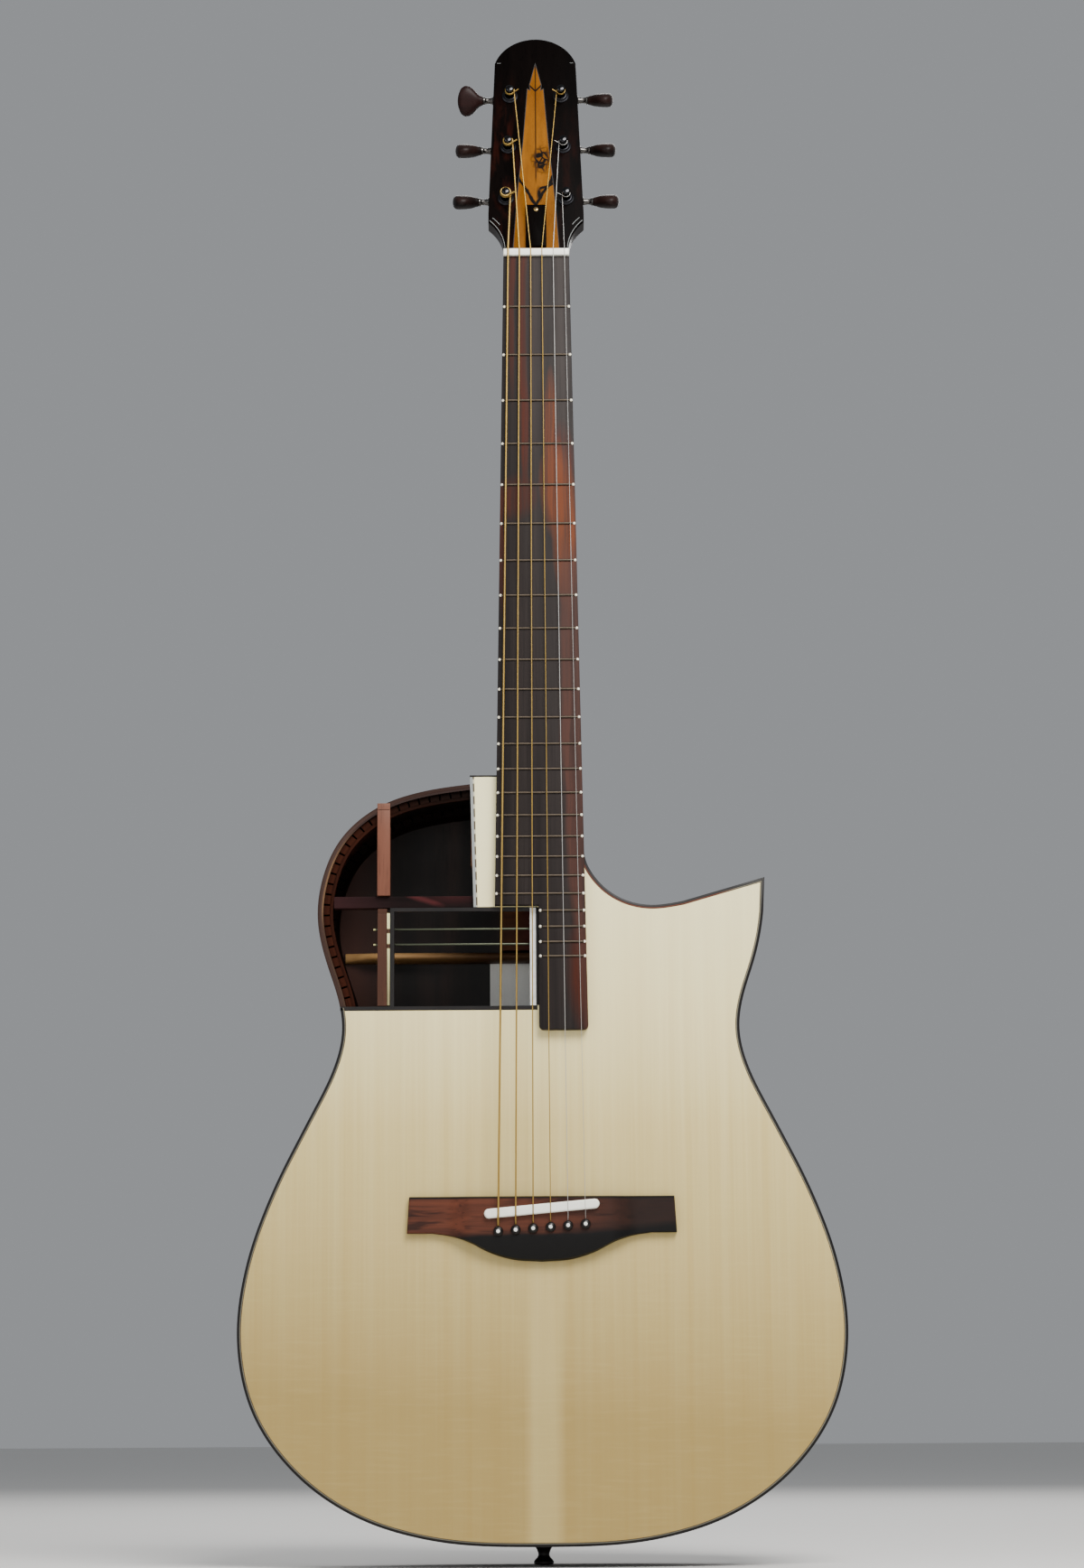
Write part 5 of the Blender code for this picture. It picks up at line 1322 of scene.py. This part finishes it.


# A round screw head with a cross cut: a lathe dome with two dark bars sunk in it, painted shade standing for
# the slot.
def makeScrew(name, matrix, radius, material, nodes=(), rides="guitar"):
    turn = matrix @ Matrix.Rotation(math.pi / 2, 4, "X")
    rise = radius * 0.42
    profile = domeProfile(radius, rise, 0.0, 8) + [(radius, -0.0004), (0.0001, -0.0004)]
    addPiece(name, latheMesh(profile, 24, turn), material, nodes, rides)
    width = radius * 0.16
    for number, (wide, tall) in enumerate(((radius * 0.62, width), (width, radius * 0.62))):
        low, high = (-wide, -rise * 1.05, -tall), (wide, -rise * 0.75, tall)
        cut = barMesh(low, high, width * 0.3, matrix)
        addPiece(f"{name}Cut{number + 1}", cut, ebony, (), rides)


# Fretboard

board = {
    "thickness": 0.0064, "gap": 0.0003, "frets": 24, "full": 20, "lastPast": 0.0492, "bassEdge": -0.0010,
    "corner": 0.0030, "fretHeight": 0.00105, "fretHalf": 0.0008, "inset": 0.0009, "dotRadius": 0.0010,
}
boardFront = -board["gap"] - board["thickness"]


def makeFretboard():
    end, last = boardEnd, downOfFret(24) + board["lastPast"]
    r, treble = board["corner"], boardHalf(last)
    turn = np.linspace(0.0, math.pi / 2, 8)
    right = np.stack([treble - r * (1 - np.cos(turn)), -last + r * (1 - np.sin(turn))], axis=1)
    left = np.stack([board["bassEdge"] + r * (1 - np.sin(turn)), -last + r * (1 - np.cos(turn))], axis=1)
    loop = np.concatenate([[(-boardHalf(0), -0.0002), (boardHalf(0), -0.0002)], right, left,
                           [(board["bassEdge"], -end), (-boardHalf(end), -end)]])
    mesh = plateMesh(loop, roundedLevels(boardFront, -board["gap"], 0.0006, flatBack=True))
    addPiece("fingerboard", mesh, fretboardWood, ["fretboard"], sharp=50)

    # Each fret is half an ellipse carried across the board and drawn in to a point at both ends.
    s = np.linspace(-1.0, 1.0, 25)
    full = np.sqrt(np.clip(1 - np.abs(s) ** 24, 0.0, 1.0))
    a = np.linspace(0.0, math.pi, 9)
    dot = [(board["dotRadius"] * math.cos(t) + 0.00001, board["dotRadius"] * 0.9 * math.sin(t))
           for t in np.linspace(math.pi / 2, 0.0, 6)]
    meshes, dots = [], []
    for number in range(1, board["frets"] + 1):
        down = downOfFret(number)
        half = boardHalf(down) - board["inset"]
        bass = -half if number <= board["full"] else board["bassEdge"] + board["inset"]
        x = (half + bass) / 2 + s * (half - bass) / 2
        z = board["fretHalf"] * full[:, None] * np.cos(a) - down
        y = boardFront + 0.0001 - (board["fretHeight"] + 0.0001) * full[:, None] * np.sin(a)
        meshes.append(gridMesh(xyz(x[:, None], y, z)))
        # A small pale dome on each end of the fret: painted glint.
        for place in (bass + 0.0002, half - 0.0002):
            dots.append(latheMesh(dot, 14, placeAt(place, boardFront + 0.0001, -down)))
    addPiece("frets", joinMeshes(meshes), fretWire, sharp=60)
    addPiece("fretEnds", joinMeshes(dots), fretEndMetal, sharp=60)
    print("fretboard ready")


strings = {
    "gauges": (0.00135, 0.00107, 0.00081, 0.00061, 0.00041, 0.00030),
    "nutSpacing": 0.0078, "pinSpacing": 0.0115, "overFret": 0.00045, "turns": 2.85, "wound": 4,
}
stringFloor = board["gap"] + board["thickness"] + 0.0010 + strings["overFret"]
nut = {"thickness": 0.0049, "overFrets": 0.0012}
bridge = {
    "saddlePast": 0.0054, "saddleSlant": -0.0892, "saddleHalf": 0.0381, "saddleWidth": 0.0064,
    "saddleHeight": 0.0119, "above": 0.0084, "topHalf": 0.0875, "half": 0.0890, "wing": 0.0239,
    "belly": ((0.0585, 0.0262), (0.0480, 0.0298), (0.0360, 0.0360), (0.0195, 0.0412), (0.0, 0.0427)),
    "thick": 0.0085, "thin": 0.0048, "centreHalf": 0.046, "pinPast": 0.0124, "pinSlant": -0.0783,
    "pinHead": 0.0033, "pinRadius": 0.0023, "pinDot": 0.00125,
}


def nutPlaces():
    return (np.arange(6) - 2.5) * strings["nutSpacing"]


def saddleDown(x):
    return body["scaleLength"] + bridge["saddlePast"] + bridge["saddleSlant"] * x


def pinPlaces():
    x = (np.arange(6) - 2.5) * strings["pinSpacing"]
    return np.stack([x, -(saddleDown(0) + bridge["pinPast"] + bridge["pinSlant"] * x)], axis=1)


# The nut: its face outline with six round-bottomed notches, carried along z with rounded edges.
def makeNut():
    top = stringFloor - strings["overFret"] + nut["overFrets"]
    half = neck["nutHalf"]
    line = [(-half, -board["gap"]), (-half, -top + 0.0006), (-half + 0.0006, -top)]
    for place, gauge in zip(nutPlaces(), strings["gauges"]):
        r = gauge / 2 + 0.0001
        floor = -stringFloor - r
        line.append((place - r, -top))
        line += [(place - r * math.cos(t), floor + r * math.sin(t)) for t in np.linspace(0.0, math.pi, 7)]
        line.append((place + r, -top))
    line += [(half - 0.0006, -top), (half, -top + 0.0006), (half, -board["gap"])]
    levels = roundedLevels(-nut["thickness"], -0.0001, 0.0004)
    turned = Matrix(((1, 0, 0, 0), (0, 0, 1, 0), (0, -1, 0, 0), (0, 0, 0, 1)))
    addPiece("nutPiece", plateMesh(line, levels, turned), bone, ["nut"], sharp=50)


# The bridge: at each x, a section runs over the face from the top edge to the lower edge, with the
# face's height fading from the thick centre to the wings and towards the belly's rim.
def makeBridge():
    top = -(saddleDown(0) - bridge["above"])
    wings = [(bridge["half"], bridge["wing"]), (0.0720, 0.0240)] + list(bridge["belly"])
    lower = smoothLine(wings[1:], 0.002)
    lowX = np.concatenate([lower[::-1, 0], [bridge["half"] + 0.001]])
    lowZ = np.concatenate([lower[::-1, 1], [bridge["wing"]]])
    x = bridge["half"] * np.sin(np.linspace(-math.pi / 2, math.pi / 2, 121))
    depthDown = np.interp(np.abs(x), lowX, lowZ)
    slope = np.clip((np.abs(x) - bridge["centreHalf"]) / 0.018, 0.0, 1.0)
    height = bridge["thick"] - (bridge["thick"] - bridge["thin"]) * (0.5 - 0.5 * np.cos(math.pi * slope))
    ends = np.clip((bridge["half"] - np.abs(x)) / 0.0008, 0.0, 1.0)
    height = height * (0.80 + 0.20 * np.sqrt(1 - (1 - ends) ** 2))
    t = np.linspace(0.0, 1.0, 40)
    down = t[None] * depthDown[:, None]
    edge = 0.0009
    near = np.minimum(down, depthDown[:, None] - down)
    rounding = np.sqrt(np.clip(1 - (1 - np.clip(near / edge, 0, 1)) ** 2, 0, 1))
    belly = np.clip((down - 0.0250) / 0.0173, 0.0, 1.0)
    face = height[:, None] * (0.82 + 0.18 * rounding) - 0.0030 * belly ** 1.5
    drop = np.clip(down / bridge["wing"], 0, 1)
    taper = (bridge["topHalf"] + (bridge["half"] - bridge["topHalf"]) * drop) / bridge["half"]
    frontRows = xyz(x[:, None] * taper, -0.0003 - face, top - down)
    backRows = frontRows[:, ::-1].copy()
    backRows[..., 1] = -0.0003
    points = np.concatenate([frontRows, backRows[:, [0, -1]]], axis=1)
    addPiece("bridgeBody", gridMesh(points), bridgeWood,
             ["bridge"], sharp=35)

    r = bridge["saddleWidth"] / 2
    slant = math.atan(bridge["saddleSlant"])
    half = bridge["saddleHalf"] - r
    a = np.linspace(math.pi / 2, -math.pi / 2, 14)
    loop = []
    for side in (1, -1):
        u, w = side * (half + r * np.cos(a)), side * r * np.sin(a)
        loop.append(np.stack([u * math.cos(slant) + w * math.sin(slant),
                              -saddleDown(0) - u * math.sin(slant) + w * math.cos(slant)], axis=1))
    levels = roundedLevels(-0.0003 - bridge["saddleHeight"], -0.0045, 0.0012, steps=5, flatBack=True)
    mesh = plateMesh(np.concatenate(loop), levels)
    addPiece("saddlePiece", mesh, bone, ["saddle"], sharp=50)
    print("bridge ready")


def makePins():
    head = 0.0003 + bridge["thick"] + 0.0004
    r, shank, dotRadius = bridge["pinHead"], bridge["pinRadius"], bridge["pinDot"]
    profile = domeProfile(r, 0.0019, head + 0.0008, 9) + [
        (r, head + 0.0004), (r * 0.93, head), (shank, head - 0.0001), (shank * 0.85, -0.0060),
        (0.0001, -0.0060)]
    dot = domeProfile(dotRadius, 0.00022, head + 0.00262, 5) + [
        (dotRadius, head + 0.0021), (0.0001, head + 0.0021)]
    for number, (x, z) in enumerate(pinPlaces(), 1):
        matrix = placeAt(x, 0, z)
        mesh = latheMesh(profile, 28, matrix)
        addPiece(f"bridgePin{number}", mesh, ebony, [f"bridge_pin_{number}"])
        addPiece(f"pinDot{number}", latheMesh(dot, 20, matrix), pearl)


# Tuning machines

tuner = {
    "places": ((0.0210, 0.0422), (0.0193, 0.0851), (0.0180, 0.1276)),
    "waist": 0.0025, "above": 0.0107, "plate": 0.0020, "baseHalf": 0.0083, "baseThick": 0.0014,
    "screwAway": 0.0058,
    "wheelTeeth": 16, "wheelTip": 0.0083, "wheelRoot": 0.0066, "wheelThick": 0.0032,
    "wormTip": 0.0040, "wormRoot": 0.0024, "wormAway": 0.0110, "wormBehind": 0.0062, "wormTurns": 2.5,
    "buttonStart": 0.0195,
    "buttonRoll": math.radians(35),
    "button": (             # distance, half height and half thickness
        (0.0, 0.0030, 0.0029), (0.0021, 0.0039, 0.0034), (0.0043, 0.0058, 0.0041), (0.0065, 0.0082, 0.0045),
        (0.0092, 0.0102, 0.0048), (0.0125, 0.0108, 0.0049), (0.0152, 0.0092, 0.0048),
        (0.0169, 0.0060, 0.0038), (0.0178, 0.0026, 0.0020), (0.0180, 0.0008, 0.0006),
    ),
}


def tunerSites():
    low, middle, high = tuner["places"]
    return ((1, -1, low), (2, -1, middle), (3, -1, high), (4, 1, high), (5, 1, middle), (6, 1, low))


def makeTuner(number, side, place):
    x, height = side * place[0], place[1]
    front = 0.0003 + tuner["plate"]
    top = front + tuner["above"]
    knobBody, postBody = f"knob_{number}", f"post_{number}"
    matrix = headMatrix @ placeAt(x, 0, height)
    back = neck["headThickness"]

    washer = [(0.0056, front - 0.0001), (0.0056, front + 0.0005), (0.0053, front + 0.0008),
              (0.0046, front + 0.0009), (0.0044, front + 0.0011), (0.0043, front + 0.0018),
              (0.0040, front + 0.0021), (0.0034, front + 0.0022), (0.0033, front + 0.0014),
              (0.0033, front - 0.0001)]
    washerMesh = latheMesh(washer, 40, matrix, ring=True)
    half, plateHigh = tuner["baseHalf"], back + tuner["baseThick"]
    loop = roundedLoop(x - half, x + half, height - half, height + tuner["wormAway"] + 0.0056, 0.0030)
    base = plateMesh(loop, [(0.0, back), (0.0, plateHigh - 0.0003), (0.0003, plateHigh)], headMatrix)
    wormY, wormZ = back + tuner["wormBehind"], height + tuner["wormAway"]
    ears = [earMesh(x + end * 0.0069, 0.0010, wormY, wormZ, plateHigh) for end in (-1, 1)]
    housing = joinMeshes([washerMesh, base, *ears])
    addPiece(f"tunerHousing{number}", housing, darkSteel, [f"tuner_housing_{number}"], sharp=40)
    away = tuner["screwAway"]
    for letter, dx in (("a", -away), ("b", away)):
        spot = headMatrix @ placeAt(x + dx, plateHigh, height - away, math.pi)
        makeScrew(f"tunerScrew{number}{letter}", spot, 0.0016, steel)

    waist = tuner["waist"]
    profile = [(0.00002, top), (0.0016, top - 0.00005), (0.0024, top - 0.0003), (0.0029, top - 0.0008),
               (0.0030, top - 0.0014), (0.0028, top - 0.0020), (waist, top - 0.0026), (waist, front + 0.0052),
               (0.0028, front + 0.0044), (0.0030, front + 0.0036), (0.0030, front - 0.0040),
               (0.0028, -back - 0.0085), (0.0001, -back - 0.0085)]
    wheelFront = wormY - tuner["wheelThick"] / 2
    post = joinMeshes([latheMesh(profile, 36, matrix), wheelMesh(x, height, wheelFront)])
    addPiece(f"tunerPost{number}", post, steel, [f"tuner_post_{number}"], postBody, sharp=35)
    # The string hole: a dark disc on the post, painted shade for the hole's inside.
    profile = [(0.00001, 0.0), (0.0008, 0.00002), (0.0010, 0.0), (0.0010, -0.0006), (0.0001, -0.0006)]
    eye = latheMesh(profile, 16, headMatrix @ placeAt(x, -(top - 0.0034), height - waist, math.pi))
    addPiece(f"postEye{number}", eye, ebony, (), postBody)
    rim = headMatrix @ placeAt(x, wheelFront + tuner["wheelThick"], height, math.pi)
    makeScrew(f"wheelScrew{number}", rim, 0.0026, brass, (), postBody)
    makeKnob(number, side, x, wormZ, wormY, number == 3, knobBody)


def roundedLoop(left, right, low, high, r):
    t = np.linspace(0.0, math.pi / 2, 7)
    corners = (((right - r, high - r), 0.0), ((left + r, high - r), math.pi / 2),
               ((left + r, low + r), math.pi), ((right - r, low + r), 1.5 * math.pi))
    return np.concatenate([np.stack([cx + r * np.cos(t + a), cz + r * np.sin(t + a)], axis=1)
                           for (cx, cz), a in corners])


# An ear: a plate square to x whose outline is a straight foot and a round end over the worm.
def earMesh(x, halfThick, y, z, foot):
    r = 0.0031
    a = np.linspace(0.0, math.pi, 13)
    loop = np.concatenate([[(foot - 0.0004, z - r)], np.stack([y + r * np.sin(a), z - r * np.cos(a)], axis=1),
                           [(foot - 0.0004, z + r)]])
    centre, edge = loop.mean(axis=0), 0.0003
    rows = []
    for inset, along in ((edge, -halfThick), (0.0, edge - halfThick), (0.0, halfThick - edge),
                         (edge, halfThick)):
        rows.append(xyz(x + along, *(centre + (loop - centre) * (1 - inset / r)).T))
    return gridMesh(moved(np.stack(rows), headMatrix))


# The worm wheel: its radius swings between root and tip once a tooth, as a softened triangle, with
# a gap facing the worm, and its edges are chamfered.
def wheelMesh(x, height, front):
    count = tuner["wheelTeeth"] * 12
    a = np.arange(count) * 2 * math.pi / count
    phase = (a * tuner["wheelTeeth"] / (2 * math.pi)) % 1.0
    wave = np.clip((1 - np.abs(2 * phase - 1)) * 1.25 - 0.10, 0.0, 1.0)
    radius = tuner["wheelRoot"] + (tuner["wheelTip"] - tuner["wheelRoot"]) * wave
    rows, thick = [], tuner["wheelThick"]
    for share, along in ((0.985, 0.0), (1.0, 0.0003), (1.0, thick - 0.0003), (0.985, thick)):
        rows.append(xyz(x + share * radius * np.sin(a), front + along, height + share * radius * np.cos(a)))
    return gridMesh(moved(np.stack(rows), headMatrix))


# A knob along its own shaft: the worm's radius swings once for each pitch of travel less one for
# each turn round, and the button is a flattened oval that swells and closes, rolled on its shaft.
def makeKnob(number, side, x, height, depth, faceOn, rides):
    turn = np.arange(40) * 2 * math.pi / 40
    pitch = math.pi * (tuner["wheelTip"] + tuner["wheelRoot"]) / tuner["wheelTeeth"]

    def ringAt(u, tall, thick, power=1.0, roll=0.0):
        c, s = np.cos(turn - roll), np.sin(turn - roll)
        wide, high = thick * np.sign(s) * np.abs(s) ** power, tall * np.sign(c) * np.abs(c) ** power
        back = depth + wide * math.cos(roll) + high * math.sin(roll)
        up = height + wide * math.sin(roll) - high * math.cos(roll)
        return xyz(x + side * u, back, up)

    reach = tuner["wormTurns"] * pitch / 2
    u = np.linspace(-reach, reach, 61)
    phase = (u[:, None] / pitch - turn[None] / (2 * math.pi)) % 1.0
    wave = np.clip(np.abs(2 * phase - 1) * 1.3 - 0.15, 0.0, 1.0)
    radius = tuner["wormRoot"] + (tuner["wormTip"] - tuner["wormRoot"]) * wave
    worm = xyz((x + side * u)[:, None], depth + radius * np.sin(turn), height - radius * np.cos(turn))
    rows = [ringAt(-0.0096, 0.0008, 0.0008), ringAt(-0.0095, 0.0022, 0.0022), ringAt(-0.0083, 0.0024, 0.0024),
            ringAt(-0.0081, 0.0015, 0.0015), ringAt(-reach - 0.0004, 0.0016, 0.0016), *worm,
            ringAt(reach + 0.0004, 0.0016, 0.0016), ringAt(0.0081, 0.0015, 0.0015)]
    for along, r in ((0.0083, 0.0031), (0.0086, 0.0034), (0.0118, 0.0034), (0.0122, 0.0031), (0.0126, 0.0026),
                     (0.0140, 0.0022), (0.0158, 0.0020), (0.0172, 0.0022), (0.0178, 0.0024), (0.0181, 0.0028),
                     (0.0190, 0.0029), (0.0194, 0.0026), (0.0200, 0.0014)):
        rows.append(ringAt(along, r, r))
    shaft = gridMesh(moved(np.stack(rows), headMatrix))
    addPiece(f"tunerShaft{number}", shaft, shaftSteel, (), rides, sharp=35)

    rows = []
    for along, tall, thick in smoothLine(tuner["button"], 0.0006):
        tall, thick = (tall, thick) if faceOn else (thick, tall)
        rows.append(ringAt(tuner["buttonStart"] + along, tall, thick, 0.86, tuner["buttonRoll"]))
    button = gridMesh(moved(np.stack(rows), headMatrix))
    addPiece(f"tunerButton{number}", button, faceButtonWood if faceOn else buttonWood,
             [f"tuner_knob_{number}"], rides, sharp=50)


# Strings

# Each string leaves its pin, bends over the saddle and the nut, and touches its post on the inner
# side. It winds down the post on a circle whose height falls evenly, and its end stands off.
def makeString(number, side, place, gauge, nutX, pin):
    r = gauge / 2
    pinX, pinZ = pin
    dropZ = pinZ + bridge["pinRadius"] + 0.0003 + r
    frontOfBridge = -(0.0003 + bridge["thick"])
    saddleZ = -saddleDown(pinX)
    saddleY = -(0.0003 + bridge["saddleHeight"] + r)
    nutY = -(stringFloor + r)
    share = saddleZ / pinZ
    overX = pinX * share + nutX * (1 - share)
    local = headMatrix.inverted() @ Vector((nutX, nutY, nut["thickness"]))
    centre = np.array([side * place[0], place[1]])
    turnRadius = tuner["waist"] + r + 0.0001
    away = np.array([local.x, local.z]) - centre
    angle = math.atan2(away[1], away[0]) - side * math.acos(turnRadius / np.linalg.norm(away))
    drop = gauge * 0.6572       # for each turn down the post
    first = -(0.0003 + tuner["plate"] + 0.0058) - r
    steps = np.linspace(0.0, strings["turns"], 110)
    turned = angle - side * 2 * math.pi * steps
    spread = turnRadius + 0.00002 * steps
    coil = xyz(centre[0] + spread * np.cos(turned), first - drop * steps, centre[1] + spread * np.sin(turned))
    last = coil[-1]
    outward = np.array([math.cos(turned[-1]), 0.0, math.sin(turned[-1])])
    onward = np.array([side * math.sin(turned[-1]), -0.35, -side * math.cos(turned[-1])])
    tail = last + np.linspace(0.0006, 0.0046, 7)[:, None] * onward + \
        np.linspace(0.0, 0.0012, 7)[:, None] * outward
    head = moved(np.concatenate([coil, tail]), headMatrix)
    below = [(pinX, 0.0040, dropZ), (pinX, frontOfBridge + 0.0020, dropZ),
             (pinX, frontOfBridge + 0.0006, dropZ), (pinX, frontOfBridge - 0.0002, dropZ + 0.0003),
             (pinX, frontOfBridge - 0.0008, dropZ + 0.0012)]
    lift = [(pinX, saddleY + 0.0008, saddleZ - 0.0034), (pinX, saddleY + 0.0002, saddleZ - 0.0024),
            (overX, saddleY, saddleZ - 0.0012), (overX, saddleY, saddleZ + 0.0010)]
    run = np.linspace(lift[-1], (nutX, nutY, -0.0020), 14)[1:]
    over = [(nutX, nutY, 0.0), (nutX, nutY, nut["thickness"] - 0.0003)]
    path = np.concatenate([below, lift, run, over, head])
    leadFrom = len(below) + len(lift) + len(run)
    mesh = tubeMesh(path, r, 12, headNormal, leadFrom)
    wound = number <= strings["wound"]
    addPiece(f"string{number}", mesh, woundString if wound else plainString,
             [f"string_{number}"], sharp=70)


def makeEndPin():
    matrix = placeAt(0, endPin["depth"], -(bodyTop + body["length"]), math.pi)
    addPiece("endPin", latheMesh(endPin["profile"], 36, matrix), ebony, ["end_pin"])


endPin = {"depth": 0.048, "profile": (
    (0.00002, 0.0130), (0.0040, 0.01295), (0.0058, 0.0126), (0.0066, 0.0118), (0.0066, 0.0106),
    (0.0058, 0.0094), (0.0044, 0.0080), (0.0037, 0.0066), (0.0038, 0.0050), (0.0046, 0.0030),
    (0.0056, 0.0014), (0.0056, 0.0001), (0.0036, 0.0001), (0.0030, -0.0190), (0.0001, -0.0190),
)}

for make in (makeTop, makeSides, makeBack, makeInside, makeRods, makeNeck, makeHeadstockFace, makeFretboard,
             makeNut, makeBridge, makePins, makeEndPin):
    make()
for (number, side, place), pin, nutX, gauge in zip(tunerSites(), pinPlaces(), nutPlaces(), strings["gauges"]):
    makeTuner(number, side, place)
    makeString(number, side, place, gauge, nutX, pin)
print("tuning machines and strings ready")

bpy.context.view_layer.update()
